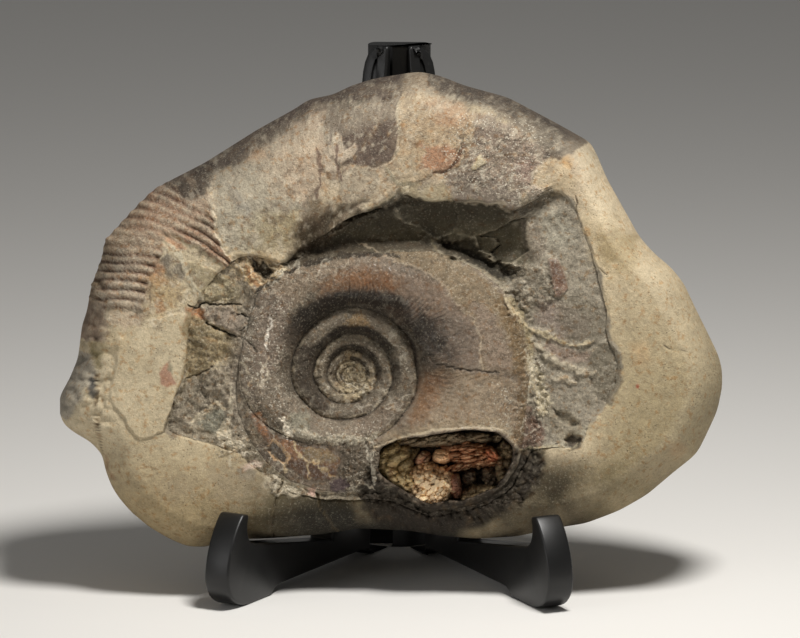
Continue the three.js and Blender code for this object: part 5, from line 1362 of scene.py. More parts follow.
def paint_coil(points, tint):
    """Grey shell of the outside whorl, and the browner whorls within it."""
    whorl, t, turn, _ = whorls_at(points.u, points.v)
    outside = whorl == FULL_TURNS
    stain(tint, np.ones_like(t), "#7f7467")
    stain(tint, (~outside) * 1.0, "#6f675a")
    stain(tint, (~outside) * smooth(0.45, 0.1, t) * 0.6, "#4f463b")
    inmost = smooth(1.1, 0.2, whorl + turn)
    stain(tint, 0.8 * inmost * smooth(-0.5, 0.4, fractal(points.u, points.v, 2.5, 97)), "#9d8e72")
    stain(tint, inmost * smooth(0.1, 0.6, fractal(points.u, points.v, 1.4, 100)), "#4a4033")


def joined_edge(points, tint):
    """Grey matter that covers the join of the coil and the broken ground at its left."""
    u, v = points.u, points.v
    radius, angle = around_hub(u, v)
    off = np.abs(radius - coil_edge(angle)) + 1.8 * fractal(u, v, 3.5, 125)
    turn = angle_off(angle)
    left = smooth(-0.75, -0.95, turn) * smooth(-2.25, -1.95, turn)
    share = left * smooth(5.5, 1, off)
    stain(tint, 0.8 * share, "#857a6b")
    stain(tint, 0.7 * share * smooth(0.1, 0.4, fractal(u, v, 2.0, 129)), "#5c5347")
    stain(tint, 0.6 * share * smooth(0.1, 0.4, fractal(u, v, 1.6, 130)), "#b3a894")


def shaded_walls(points, tint):
    """Painted shade in the steep inner walls of the whorls, in patches, most of it at the top
    where the walls face down.
    """
    whorl, t, turn, _ = whorls_at(points.u, points.v)
    upper = smooth(0.0, 0.6, np.cos(FULL_TURN * turn - 0.3))
    patchy = smooth(-1.1, -0.1, fractal(points.u, points.v, 5, 120))
    wall = smooth(0.42, 0.26, t + 0.06 * fractal(points.u, points.v, 2, 121)) * (whorl >= 0)
    stain(tint, 0.92 * wall * upper * patchy, "#1b140b")


def whorl_rims(points, tint):
    """Pale worn lines along the outer edges of the inner whorls, dark seams inside them."""
    whorl, t, turn, width = whorls_at(points.u, points.v)
    inner = whorl < FULL_TURNS
    worn = smooth(-0.3, 0.5, noise(points.u, points.v, 2.2, 96))
    edge = np.clip((1 - t) * width, 0, 9)
    rim = bump_at(0.7, 0.8, edge) * inner * (1 - smooth(0.55, 0.9, turn) * (whorl == 2))
    stain(tint, 0.8 * rim * worn, "#aba18c")
    lower_left = smooth(0.3, -0.5, np.cos(FULL_TURN * turn - 0.8))
    off = angle_off(FULL_TURN * turn)
    left = smooth(-0.7, -0.95, off) * smooth(-2.3, -2, off)
    seam = smooth(0.35, 0.0, edge) * np.where(inner, 1, 1 - left) + smooth(0.5, 0.0, t * width)
    stain(tint, 0.7 * np.clip(seam, 0, 1) * (edge < 8) * (0.3 + 0.7 * lower_left), "#332b23")


# ---- pieces of the stone -------------------------------------------------------------
SHARPEST = math.radians(60)  # faces that meet at more than this keep a sharp edge
COIL_WALL = 16  # how deep the wall below the coil's edge goes
CROWDING = 1.12  # over 1, the coil's cells are smaller near its hub


def deselect():
    if bpy.context.mode != "OBJECT":
        bpy.ops.object.mode_set(mode="OBJECT")
    bpy.ops.object.select_all(action="DESELECT")


def new_grid(name, columns, rows):
    """A flat grid of cells: where its vertices are, from -1 to 1, and their column and row."""
    deselect()
    bpy.ops.mesh.primitive_grid_add(x_subdivisions=columns, y_subdivisions=rows, size=2)
    piece = bpy.context.object
    piece.name = piece.data.name = name
    places = np.empty(3 * len(piece.data.vertices))
    piece.data.vertices.foreach_get("co", places)
    across, up, _ = places.reshape(-1, 3).T
    column = np.rint((across + 1) / 2 * columns).astype(int)
    row = np.rint((up + 1) / 2 * rows).astype(int)
    return piece, (across, up), column, row


def on_disc(a, b):
    """Distance from the middle and angle of a square grid's points, moved onto a disc."""
    wide = np.abs(a) >= np.abs(b)
    longer, shorter = np.where(wide, a, b), np.where(wide, b, a)
    lean = math.pi / 4 * shorter / np.where(longer == 0, 1, longer)
    along, aside = longer * np.cos(lean), longer * np.sin(lean)
    x, y = np.where(wide, along, aside), np.where(wide, aside, along)
    return np.hypot(x, y), np.arctan2(x, y) % FULL_TURN


def put(piece, points):
    """Moves a piece's vertices to their places."""
    piece.data.vertices.foreach_set("co", np.asarray(points, float).ravel())
    piece.data.update()


def write_attribute(mesh, name, values):
    kind, key = ("FLOAT_COLOR", "color") if values.ndim == 2 else ("FLOAT", "value")
    if values.ndim == 2:
        values = np.concatenate([values, np.ones((len(values), 1))], axis=1)
    mesh.attributes.new(name, kind, "POINT").data.foreach_set(key, values.ravel())


def face_outwards():
    bpy.ops.mesh.select_all(action="SELECT")
    bpy.ops.mesh.normals_make_consistent(inside=False)


def close_skin(wall=0.0):
    """Merges the seams, closes an open rim with a wall and a floor, and turns faces outwards."""
    bpy.ops.object.mode_set(mode="EDIT")
    bpy.ops.mesh.select_mode(type="VERT")
    bpy.ops.mesh.select_all(action="SELECT")
    bpy.ops.mesh.remove_doubles(threshold=1e-6)
    if wall:
        bpy.ops.mesh.select_all(action="DESELECT")
        bpy.ops.mesh.select_non_manifold()
        inwards = Vector((0, math.cos(LEAN), -math.sin(LEAN))) * wall * MM
        bpy.ops.mesh.extrude_edges_move(TRANSFORM_OT_translate={"value": inwards})
        bpy.ops.mesh.edge_face_add()
    face_outwards()
    bpy.ops.object.mode_set(mode="OBJECT")
    bpy.ops.object.shade_smooth_by_angle(angle=SHARPEST)


def blurred(grid, passes):
    for _ in range(passes):
        grid = (np.roll(grid, 1, 0) + 2 * grid + np.roll(grid, -1, 0)) / 4
        side = np.pad(grid, ((0, 0), (1, 1)), mode="edge")
        grid = (side[:, :-2] + 2 * grid + side[:, 2:]) / 4
    return grid


def sunken(height, column, row, passes):
    """How far each vertex of a grid lies below the level of what is round it."""
    grid = np.zeros((column.max() + 1, row.max() + 1))
    grid[column, row] = height
    return (blurred(grid, passes) - grid)[column, row]


def dress(piece, *painted):
    """Gives each vertex its colour and its amounts of white specks, grain and gloss."""
    for name, values in zip(("tint", "chalk", "grain", "gloss"), painted):
        write_attribute(piece.data, name, values)


def worn_patches(points):
    """Where the shell of the coil has flaked off in small patches."""
    u, v = points.u, points.v
    whorl, _, turn, _ = whorls_at(u, v)
    inner = 0.4 + 0.6 * smooth(2.5, 0.5, whorl + turn)
    return 0.6 * inner * smooth(0.12, 0.3, fractal(u, v, 3.4, 107))


def coil():
    """The coiled shell: a round grid that follows the coil's edge, with a wall below it."""
    piece, places, column, row = new_grid("coiled_shell", QUARTER, QUARTER)
    reach, angle = on_disc(*places)
    radius = reach ** CROWDING * coil_edge(angle)
    u, v = face_point(radius, angle)
    points = Points(u, v)
    marks = relief(points, "coil") + 0.14 * growth_lines(u, v) - 0.6 * worn_patches(points)
    inset = coil_edge(angle) - radius
    w = coil_height(u, v) + marks * smooth(0, 1.5, inset)
    w = w - 1.2 * points.inside(CHAMBER_FOOT, 1.0, 1.0) * smooth(0, 2, inset)
    hole = chamber_hole(u, v)
    hollows = sunken(w, column, row, 10)
    w = mix(w, CHAMBER_FLOOR, hole)
    put(piece, to_row_frame(u, v, w))
    # the hole of the broken chamber is painted dark as shade, together with the hollows
    dress(piece, *paint(points, "coil", hollows + 1.5 * hole))
    close_skin(COIL_WALL)
    return piece


def ring(name, rows):
    """A grid for a closed ring round the coil, with each vertex's column, row and angle."""
    piece, _, column, row = new_grid(name, SECTORS, rows)
    angle = (column % SECTORS) * FULL_TURN / SECTORS
    return piece, column, row, angle


def ground():
    """Broken ground round the coil. Its first and last rows are its hidden foot."""
    rows = GROUND_ROWS + 3
    piece, column, row, angle = ring("broken_ground", rows)
    inner, outer = coil_edge(angle), ground_edge(angle)
    t = np.clip((row - 1) / GROUND_ROWS, 0, 1)
    radius = mix(inner, outer, t)
    u, v = face_point(radius, angle)
    points = Points(u, v)
    w = ground_height(u, v)
    reach = np.minimum(4, 0.5 * (outer - inner))
    bank = (1 - smooth(0, 1, (radius - inner) / reach)) ** 1.5
    off = angle_off(angle)
    apart = smooth(-0.7, -0.35, off) * smooth(1.9, 1.2, off)
    level = np.maximum(w, whorl_margin(angle) - mix(0.02, 0.5, apart))
    w = mix(w, level, mix(1, 0.7, apart) * bank)
    w = w + relief(points, "ground") * mix(smooth(0, 1.5, radius - inner), 1, apart)
    foot = (row == 0) | (row >= rows - 1)
    hollows = sunken(w, column, row, 8)
    w = np.where(foot, HIDDEN_DEPTH, w)
    radius = np.where(row == rows, inner, radius)
    u, v = face_point(radius, angle)
    put(piece, to_row_frame(u, v, w))
    dress(piece, *paint(points, "ground", np.where(foot, 1, hollows)))
    close_skin()
    return piece


def surface():
    """The whole outer surface with its rounded edge. First and last rows are its hidden foot."""
    rows = SURFACE_ROWS + ROLL_ROWS + 4
    piece, column, row, angle = ring("outer_surface", rows)
    inner, outer = ground_edge(angle), stone_edge(angle)
    roll = np.minimum(edge_roll(angle), outer - inner - 1)
    t = np.clip((row - 2) / SURFACE_ROWS, 0, 1)
    bend = np.clip((row - 2 - SURFACE_ROWS) / ROLL_ROWS, 0, 1) * math.pi / 2
    radius = np.where(bend > 0, outer - roll * (1 - np.sin(bend)), mix(inner, outer - roll, t))
    u, v = face_point(radius, angle)
    points = Points(u, v, 1.7)
    w = surface_height(radius, angle)
    added = relief(points, "surface")
    facing = np.cos(bend)
    w = w + added * facing
    aside = (added - 0.25) * (1 - facing) * smooth(0, 0.3, bend) * smooth(math.pi / 2, 1.35, bend)
    u, v = face_point(radius + aside, angle)
    foot = (row == 0) | (row == rows)
    hollows = sunken(w + added * (1 - facing), column, row, 8) * smooth(1.4, 0.9, bend)
    w = np.where(foot, HIDDEN_DEPTH, w)
    w = np.where(row == 1, np.minimum(w - 2.5, mix(w, HIDDEN_DEPTH, 0.3)), w)
    foot_u, foot_v = face_point(inner, angle)
    u = np.where(row == rows, foot_u, np.clip(u, -WIDEST, WIDEST))
    v = np.where(row == rows, foot_v, v)
    put(piece, to_row_frame(u, v, w))
    dress(piece, *paint(points, "surface", np.where(foot | (row == 1), 0.6, hollows)))
    close_skin()
    return piece


def back():
    """The back of the nodule: a lens that is flat where it is hidden inside the stone."""
    rows = BACK_ROWS + 2
    piece, _, row, angle = ring("nodule_back", rows)
    edge = stone_edge(angle)
    bend = np.clip((row - 2) / BACK_ROWS, 0, 1)
    reach = np.where(row < 2, row * 0.5, 1 - bend ** 1.6)
    radius = reach * edge
    u, v = face_point(radius, angle)
    points = Points(u, v)
    w = back_height(radius, angle) + 0.25 * fractal(u, v, 4, 99) * smooth(1, 0.96, reach)
    w = np.where(row < 2, mix(HIDDEN_DEPTH, edge_level(angle), reach), w)
    u = np.clip(u, -WIDEST, WIDEST)
    put(piece, to_row_frame(u, v, w))
    tint, chalk, grain, gloss = paint(points, "surface", np.zeros_like(u))
    worn = smooth(0.02, 0.3, bend)
    stain(tint, worn, "#b3a383")
    stain(tint, worn * smooth(-0.1, 0.7, fractal(u, v, 18, 101)), "#97875f")
    stain(tint, 0.7 * worn * smooth(0.1, 0.6, fractal(u, v, 9, 102)), "#c7b894")
    stain(tint, 0.6 * worn * smooth(0.25, 0.6, fractal(u, v, 12, 103)), "#8b8478")
    tint *= (1 + 0.1 * fractal(u, v, 2, 104))[:, None]
    dress(piece, tint, chalk, grain, gloss)
    close_skin()
    return piece


# ---- the crumbly filling of the body chamber ------------------------------------------
# Lumps: middle, half width and height, turn, top, colour, crumb size, stretch and height.
LUMPS = [
    ((16.3, -38.9), (16.5, 1.8), 3, -6.2, "#6d604c", (1.2, 2.2, 0.9)),
    ((34.6, -45.6), (3.0, 6.8), -14, -6.2, "#5c4e38", (1.5, 1.4, 1.2)),
    ((27.6, -55.4), (7.0, 2.4), 8, -5.6, "#6a5b42", (1.6, 1.4, 1.0)),
    ((24.1, -43.2), (7.4, 3.2), -8, -5.2, "#96694a", (0.9, 2.8, 1.7)),
    ((21.0, -47.2), (4.6, 1.2), 16, -7.2, "#7a5238", (0.9, 2.4, 1.5)),
    ((30.2, -43.6), (2.2, 1.5), -38, -4.6, "#9a5a3c", (0.9, 1.8, 0.9)),
    ((15.6, -44.2), (2.7, 1.9), 6, -5.4, "#b8946f", (1.7, 1.3, 0.9)),
    ((9.6, -44.6), (2.4, 1.8), 20, -5.8, "#8c6650", (1.4, 1.3, 0.9)),
    ((1.0, -45.4), (5.6, 6.0), 12, -4.6, "#847351", (1.9, 1.6, 1.6)),
    ((4.0, -51.4), (5.2, 2.6), -24, -4.4, "#a8956f", (1.2, 1.3, 1.0)),
    ((9.0, -48.6), (4.2, 2.2), 24, -5.0, "#a98a66", (1.0, 1.3, 1.0)),
    ((11.8, -53.4), (6.4, 5.4), 10, -2.8, "#c4ab88", (0.9, 1.3, 0.8)),
    ((19.2, -53.0), (1.7, 3.8), 12, -4.8, "#805a48", (1.3, 1.6, 0.8)),
    ((23.6, -50.6), (2.0, 2.3), 0, -9.6, "#4a3f33", (1.3, 1.2, 0.9)),
    ((30.5, -50.4), (2.6, 3.4), 24, -8.2, "#3f3427", (1.4, 1.4, 1.1)),
]
CRUST_CELLS = 260
CRUST_BED = -14.2  # height of the rubble that the lumps lie in
CRUST_RIM = -16.2  # height of the filling's rim, and the lowest that it goes
CRUST_TOP = -2.9
CRUST_WALL = 1.2


def crust_lumps(u, v):
    """Height of the crumbly filling, and the colour of the lump that is uppermost."""
    crumbs, number = shards(u, v, 1.8, 111, 1.5, 0.5)
    height = CRUST_BED + 1.5 * crumbs
    tint = np.tile(shade("#2b2118"), (len(u), 1)) * (0.6 + 0.8 * number)[:, None]
    for index, (middle, half, degrees, top, code, crumb) in enumerate(LUMPS):
        (cu, cv), (wide, tall), (size, stretch, depth) = middle, half, crumb
        a = math.radians(degrees)
        along, aside = turned(u - cu, v - cv, a)
        reach = np.hypot(along / wide, aside / tall)
        near = (reach < 1.6).nonzero()
        reach = reach[near] + 0.3 * fractal(u[near], v[near], 2.4, 113 + index)
        crumbs, number = shards(u[near], v[near], size, 130 + 7 * index, stretch, a + 0.3)
        chips, _ = shards(u[near], v[near], 0.55, 131 + 7 * index, 1.3, a - 0.4)
        rubble = 1.9 * depth * (crumbs - 0.3) + 0.35 * chips
        lump = top - 3.0 * np.maximum(reach, 0) ** 4 + rubble
        above = smooth(-0.15, 0.15, lump - height[near])
        colour = shade(code) * (0.8 + 0.9 * number[:, None])
        tint[near] += (colour - tint[near]) * above[:, None]
        height[near] = np.maximum(height[near], lump)
    return height, tint


def crust():
    """The rusty, crumbly filling that shows in the broken body chamber."""
    piece, places, column, row = new_grid("rusty_filling", CRUST_CELLS, CRUST_CELLS)
    reach, angle = on_disc(*places)
    radius = reach * 1.01 * chamber_edge(angle)
    u, v = CHAMBER_HUB[0] + radius * np.sin(angle), CHAMBER_HUB[1] + radius * np.cos(angle)
    w, tint = crust_lumps(u, v)
    w = w + 0.4 * (grains(u, v, 0.8, 114) - 0.5) + 0.25 * fractal(u, v, 0.7, 115, 2)
    hollows = sunken(w, column, row, 10)
    w = mix(CRUST_RIM, w, smooth(1, 0.99, reach))
    tint *= (1 + 0.3 * fractal(u, v, 1.6, 117))[:, None]
    stain(tint, 0.3 * smooth(0.2, 0.7, noise(u, v, 2.2, 118)), "#7f5a40")
    stain(tint, 0.45 * smooth(0.25, 0.6, fractal(u, v, 1.5, 122)), "#1e1812")
    # painted highlight on the crumbs that stand up, and painted shade in the hollows between them
    stain(tint, 0.45 * smooth(0.25, 0.9, -hollows), "#c9b48c")
    tint *= (1 - 0.75 * smooth(0.2, 1.5, hollows))[:, None]
    put(piece, to_row_frame(u, v, np.clip(w, CRUST_RIM, CRUST_TOP)))
    dress(piece, np.clip(tint, 0.002, 0.9))
    close_skin(CRUST_WALL)
    return piece


# ---- the easel ------------------------------------------------------------------------
POST_X = 2.5  # the post's middle, measured from the middle of the face
POST_Y = 63.8
POST_TOP = 156.5
POST_BACK = 3.19
POST_NOSE = 4.7  # from the post's middle to the corners of its narrow front
FRAME_TOP = 156.6
FRAME_START = 5  # how far forward of the post's middle a side frame starts
LEAN_TOP = 128  # how high the straight edge that the stone leans on goes
CLEARANCE = 0.3  # between the stone and what carries it
ROUNDED_TOP = (9.5, 4.6)  # how far below its top a frame starts to get thinner, and by how much
EASEL_TURN = math.radians(2)
SPREAD = math.radians(27.3)
FRAME_DEPTH = 8.4
SEAT = -69.9
ROUNDING_STEPS = 10
GROOVE_MARGIN = 2.4
GROOVE_DEPTH = 0.9
GROOVE_FOOT = 45.0  # how high the groove of the leaning edge starts
SOFT_EDGE = 0.8
FINE_EDGE = 0.2


def seat_at(w):
    """Where the hooks carry the stone, at a depth from its face: how far back, and how high."""
    y = SEAT * math.sin(LEAN) - w * math.cos(LEAN)
    z = FACE_MIDDLE[2] + SEAT * math.cos(LEAN) + w * math.sin(LEAN)
    return y, z


def path(start, *parts):
    """Points of an outline: each part is a line, or a curve with one or two guides."""
    points = [start]
    for part in parts:
        guides = [points[-1], *part]
        steps = 1 if len(part) == 1 else ROUNDING_STEPS
        for step in range(1, steps + 1):
            t = step / steps
            level = guides
            while len(level) > 1:
                level = [
                    (mix(p[0], q[0], t), mix(p[1], q[1], t)) for p, q in zip(level, level[1:])
                ]
            points.append(level[0])
    return points


def frame_outline():
    """A side frame seen from its side: how far forward of the post, and how high."""
    heel_y, heel_z = seat_at(BACK - CLEARANCE)
    toe_y, toe_z = seat_at(-1.5)
    lean_y = heel_y + (LEAN_TOP - heel_z) * math.tan(LEAN)

    def forward(y):
        return (POST_Y - y) / math.cos(SPREAD + EASEL_TURN)

    heel, toe, rest = forward(heel_y), forward(toe_y), forward(lean_y)
    return path(
        (FRAME_START, 0), [(17, 0)], [(19, 2.5), (23, 2.5)],
        [(72, 2.5)], [(76, 2.5), (78, 0)], [(92, 0)],
        [(101, 0.5), (105, 6), (104, 12)], [(103, 19), (98.5, 25.5), (94.6, 28.3)],
        [(91.3, 27.6)], [(92.4, 25), (93, 22), (toe + 2.4, toe_z + 1)], [(toe, toe_z - 0.4)],
        [(heel - CLEARANCE, heel_z - 0.2)], [(rest, LEAN_TOP)],
        [(rest - 2.2, 137), (rest - 4.8, 148), (7, FRAME_TOP)],
        *([(FRAME_START, FRAME_TOP - drop)] for drop in (0, 3, 6, ROUNDED_TOP[0])),
    )


def window_outline():
    """The open triangle in a side frame, seen in the same way."""
    return path(
        (15, 12), [(15, 72)], [(15.4, 75), (16.6, 72)], [(29.4, 17)], [(30.4, 12), (26.4, 12)]
    )


def ring_of_points(points, place):
    """Adds a closed line of points to the mesh that is being edited."""
    bpy.ops.mesh.select_all(action="DESELECT")
    bpy.ops.mesh.primitive_circle_add(vertices=len(points), radius=1)
    mesh = bmesh.from_edit_mesh(bpy.context.object.data)
    mesh.verts.ensure_lookup_table()
    for vertex, point in zip(mesh.verts[-len(points):], points):
        vertex.co = place(*point)
    bmesh.update_edit_mesh(bpy.context.object.data)


def open_edit(name):
    """An empty mesh, ready to be edited."""
    deselect()
    bpy.ops.mesh.primitive_plane_add()
    piece = bpy.context.object
    piece.name = piece.data.name = name
    bpy.ops.object.mode_set(mode="EDIT")
    bpy.ops.mesh.select_all(action="SELECT")
    bpy.ops.mesh.delete(type="VERT")
    return piece


def soften(piece, width, segments=3):
    """Rounds a piece's edges and shades it smoothly."""
    bpy.ops.object.mode_set(mode="OBJECT")
    edge = piece.modifiers.new("soft edges", "BEVEL")
    edge.width = width * MM
    edge.segments = segments
    edge.limit_method = "ANGLE"
    edge.angle_limit = math.radians(32)
    edge.harden_normals = False
    bpy.ops.object.modifier_apply(modifier=edge.name)
    bpy.ops.object.shade_smooth_by_angle(angle=math.radians(40))


def select_faces(wanted):
    bpy.ops.mesh.select_mode(type="FACE")
    bpy.ops.mesh.select_all(action="DESELECT")
    data = bpy.context.object.data
    mesh = bmesh.from_edit_mesh(data)
    for face in mesh.faces:
        face.select_set(wanted(face))
    bmesh.update_edit_mesh(data)


def side_frame(name, side):
    """One of the two flat moulded sides, with a groove along its leaning edge."""
    heading = side * SPREAD - EASEL_TURN
    ahead = Vector((math.sin(heading), -math.cos(heading), 0))
    outwards = Vector((math.cos(heading), math.sin(heading), 0)) * side
    foot = Vector((POST_X + FACE_MIDDLE[0], POST_Y + FACE_MIDDLE[1], 0)) + outwards * 0.15

    def place(forward, z):
        return (foot + ahead * forward + Vector((0, 0, z))) * MM

    piece = open_edit(name)
    ring_of_points(frame_outline(), place)
    ring_of_points(window_outline(), place)
    bpy.ops.mesh.select_all(action="SELECT")
    bpy.ops.mesh.fill(use_beauty=True)
    bpy.ops.mesh.select_all(action="SELECT")
    move = outwards * FRAME_DEPTH * MM
    bpy.ops.mesh.extrude_region_move(TRANSFORM_OT_translate={"value": move})
    mesh = bmesh.from_edit_mesh(piece.data)
    for vertex in mesh.verts:
        if (vertex.co - foot * MM).dot(outwards) > FRAME_DEPTH / 2 * MM:
            past = max(0, (vertex.co.z / MM - FRAME_TOP) / ROUNDED_TOP[0] + 1)
            vertex.co -= outwards * ROUNDED_TOP[1] * MM * (1 - math.sqrt(1 - min(past, 1) ** 2))
    bmesh.update_edit_mesh(piece.data)
    face_outwards()
    bpy.ops.mesh.select_all(action="DESELECT")
    bpy.ops.mesh.select_mode(type="EDGE")
    bpy.ops.mesh.edges_select_sharp(sharpness=math.radians(40))
    bpy.ops.mesh.bevel(offset=SOFT_EDGE * MM, segments=3, affect="EDGES", clamp_overlap=False)
    foot_level = GROOVE_FOOT * MM
    select_faces(lambda face: (
        abs(face.normal.dot(outwards)) < 0.05 and face.normal.dot(ahead) > 0.3
        and face.calc_center_median().z > foot_level
    ))
    bpy.ops.mesh.inset(thickness=GROOVE_MARGIN * MM, depth=0, use_even_offset=True)
    bpy.ops.mesh.extrude_region_shrink_fatten(
        TRANSFORM_OT_shrink_fatten={"value": -GROOVE_DEPTH * MM}
    )
    soften(piece, FINE_EDGE, 2)
    return piece


def post():
    """The upright that both side frames meet in."""
    half_nose, nose_y = POST_NOSE * math.sin(SPREAD), -POST_NOSE * math.cos(SPREAD)
    wing_x, wing_y = half_nose + FRAME_DEPTH * math.cos(SPREAD), FRAME_DEPTH * math.sin(SPREAD)
    section = path(
        (-half_nose, nose_y), [(half_nose, nose_y)], [(wing_x, nose_y + wing_y)],
        [(9.2, POST_BACK), (6.6, POST_BACK)], [(-6.6, POST_BACK)],
        [(-9.2, POST_BACK), (-wing_x, nose_y + wing_y)],
    )

    def place(x, y):
        x, y = turned(x, y, EASEL_TURN)
        return Vector((POST_X + FACE_MIDDLE[0] + x, POST_Y + FACE_MIDDLE[1] + y, 0)) * MM

    piece = open_edit("post")
    ring_of_points(section, place)
    bpy.ops.mesh.select_all(action="SELECT")
    bpy.ops.mesh.edge_face_add()
    move = Vector((0, 0, POST_TOP * MM))
    bpy.ops.mesh.extrude_region_move(TRANSFORM_OT_translate={"value": move})
    face_outwards()
    soften(piece, SOFT_EDGE)
    return piece


# ---- finishes -------------------------------------------------------------------------
class Value:
    """A value on its way through a finish, worked on with ordinary signs."""

    def __init__(self, finish, socket):
        self.finish, self.socket = finish, socket

    def maths(self, kind, a, b, clamp=False):
        settings = {"operation": kind, "use_clamp": clamp}
        return self.finish.node("ShaderNodeMath", settings, {0: a, 1: b})

    def __add__(self, other):
        return self.maths("ADD", self, other)

    def __radd__(self, other):
        return self.maths("ADD", other, self)

    def __sub__(self, other):
        return self.maths("SUBTRACT", self, other)

    def __rsub__(self, other):
        return self.maths("SUBTRACT", other, self)

    def __mul__(self, other):
        return self.maths("MULTIPLY", self, other)

    def __rmul__(self, other):
        return self.maths("MULTIPLY", other, self)

    def held(self):
        """Kept between 0 and 1."""
        return self.maths("ADD", self, 0.0, clamp=True)


class Finish:
    """A procedural finish: a material and the nodes that feed its one shader."""

    def __init__(self, name):
        self.material = bpy.data.materials.new(name)
        self.material.use_nodes = True
        self.tree = self.material.node_tree
        self.shader = self.tree.nodes["Principled BSDF"]
        self.place = self.node("ShaderNodeTexCoord", out="Object")

    def feed(self, socket, value):
        if isinstance(value, Value):
            self.tree.links.new(value.socket, socket)
        elif isinstance(value, str):
            socket.default_value = (*shade(value), 1)
        else:
            socket.default_value = value

    def node(self, kind, settings=None, inputs=None, out=0):
        made = self.tree.nodes.new(kind)
        for name, value in (settings or {}).items():
            setattr(made, name, value)
        for name, value in (inputs or {}).items():
            self.feed(made.inputs[name], value)
        return Value(self, made.outputs[out])

    def attribute(self, name, out="Fac"):
        settings = {"attribute_type": "GEOMETRY", "attribute_name": name}
        return self.node("ShaderNodeAttribute", settings, out=out)

    def noise(self, size, detail=3.0, roughness=0.55, place=None):
        """Cloudy noise with features about this many millimetres across, 0 to 1."""
        inputs = {"Vector": place or self.place, "Scale": 1 / (size * MM)}
        inputs |= {"Detail": detail, "Roughness": roughness}
        return self.node("ShaderNodeTexNoise", {}, inputs)

    def cells(self, size):
        """Distance from the middles of cells about this many millimetres across."""
        inputs = {"Vector": self.place, "Scale": 1 / (size * MM)}
        return self.node("ShaderNodeTexVoronoi", {"feature": "F1"}, inputs, "Distance")

    def ramp(self, value, low, high):
        """0 below low, 1 above high, and smooth between them."""
        settings = {"interpolation_type": "SMOOTHSTEP"}
        inputs = {"Value": value, "From Min": low, "From Max": high}
        return self.node("ShaderNodeMapRange", settings, inputs)

    def mix(self, share, a, b, kind="MIX"):
        """Colour a with a share of colour b over it."""
        settings = {"data_type": "RGBA", "blend_type": kind, "clamp_factor": True}
        return self.node("ShaderNodeMix", settings, {0: share, 6: a, 7: b}, out=2)

    def scaled(self, colour, amount):
        """A colour made lighter or darker by a value."""
        return self.node(
            "ShaderNodeVectorMath", {"operation": "SCALE"}, {0: colour, "Scale": amount}
        )

    def bump(self, height, distance, strength):
        inputs = {"Height": height, "Distance": distance * MM, "Strength": strength}
        return self.node("ShaderNodeBump", {}, inputs)

    def finished(self, **inputs):
        for name, value in inputs.items():
            self.feed(self.shader.inputs[name.replace("_", " ")], value)
        return self.material


def stone_finish():
    f = Finish("fossil stone")
    grain, chalk, gloss = f.attribute("grain"), f.attribute("chalk"), f.attribute("gloss")
    cloud, fine, dust = f.noise(3.5, 4), f.noise(0.8, 3, 0.65), f.noise(0.28, 2, 0.7)
    colour = f.attribute("tint", "Color")
    light = 0.95 + 0.24 * (cloud - 0.5) + (0.2 + 1.2 * grain) * (fine - 0.5)
    light = light + (0.4 + 0.8 * grain) * (dust - 0.5)
    colour = f.scaled(colour, light)
    dark = f.ramp(f.noise(0.9, 3, 0.65), 0.54, 0.68) * grain
    colour = f.mix(0.5 * dark, colour, "#30281f")
    pale = f.ramp(f.noise(0.62, 3, 0.65), 0.55, 0.68) * grain
    colour = f.mix(0.42 * pale, colour, "#d2c7b1")
    warm = f.ramp(f.noise(1.7, 3), 0.52, 0.72)
    colour = f.mix(0.6 * warm, colour, "#ddb88a", kind="MULTIPLY")
    pores = f.ramp(f.cells(0.9), 0.24, 0.12) * f.ramp(f.noise(5, 2), 0.48, 0.62)
    colour = f.mix(0.6 * pores, colour, "#4b3c2a")
    flecks = f.ramp(f.cells(0.9) - 0.25 * (dust - 0.5), 0.34, 0.2)
    patchy = f.ramp(f.noise(2.6, 4) + 0.3 * chalk, 0.62, 0.76)
    specks = (flecks * patchy * chalk).held()
    colour = f.mix(0.7 * specks, colour, "#ddd5c2")
    # painted glints on the glossy parts
    colour = f.mix(0.12 * gloss * f.ramp(f.noise(0.9, 2), 0.5, 0.62), colour, "#fffaf0")
    roughness = 0.80 + 0.16 * (fine - 0.5) - 0.42 * gloss
    height = (0.25 + 1.1 * grain) * fine + 0.35 * dust
    height = height + 0.5 * grain * f.noise(0.5, 2) - 0.5 * pores
    normal = f.bump(height + 0.25 * specks, 0.4, 0.9)
    return f.finished(
        Base_Color=colour, Roughness=roughness.held(), Normal=normal,
        Coat_Weight=0.55 * gloss, Coat_Roughness=0.18, Specular_IOR_Level=0.35,
    )


def crust_finish():
    f = Finish("rusty filling")
    fine, dust = f.noise(0.7, 3, 0.65), f.noise(0.25, 2, 0.7)
    colour = f.scaled(f.attribute("tint", "Color"), 0.95 + 0.85 * fine)
    rust = f.ramp(f.noise(2.1, 4), 0.5, 0.66)
    colour = f.mix(0.3 * rust, colour, "#80583a")
    grit = f.ramp(f.cells(0.7), 0.3, 0.14) * f.ramp(f.noise(1.4, 2), 0.5, 0.6)
    colour = f.mix(0.7 * grit, colour, "#c8b48c")
    roughness = 0.62 + 0.3 * (dust - 0.5) + 0.2 * grit
    normal = f.bump(0.6 * fine + 0.4 * dust + 0.3 * grit, 0.4, 0.8)
    return f.finished(Base_Color=colour, Roughness=roughness, Normal=normal)


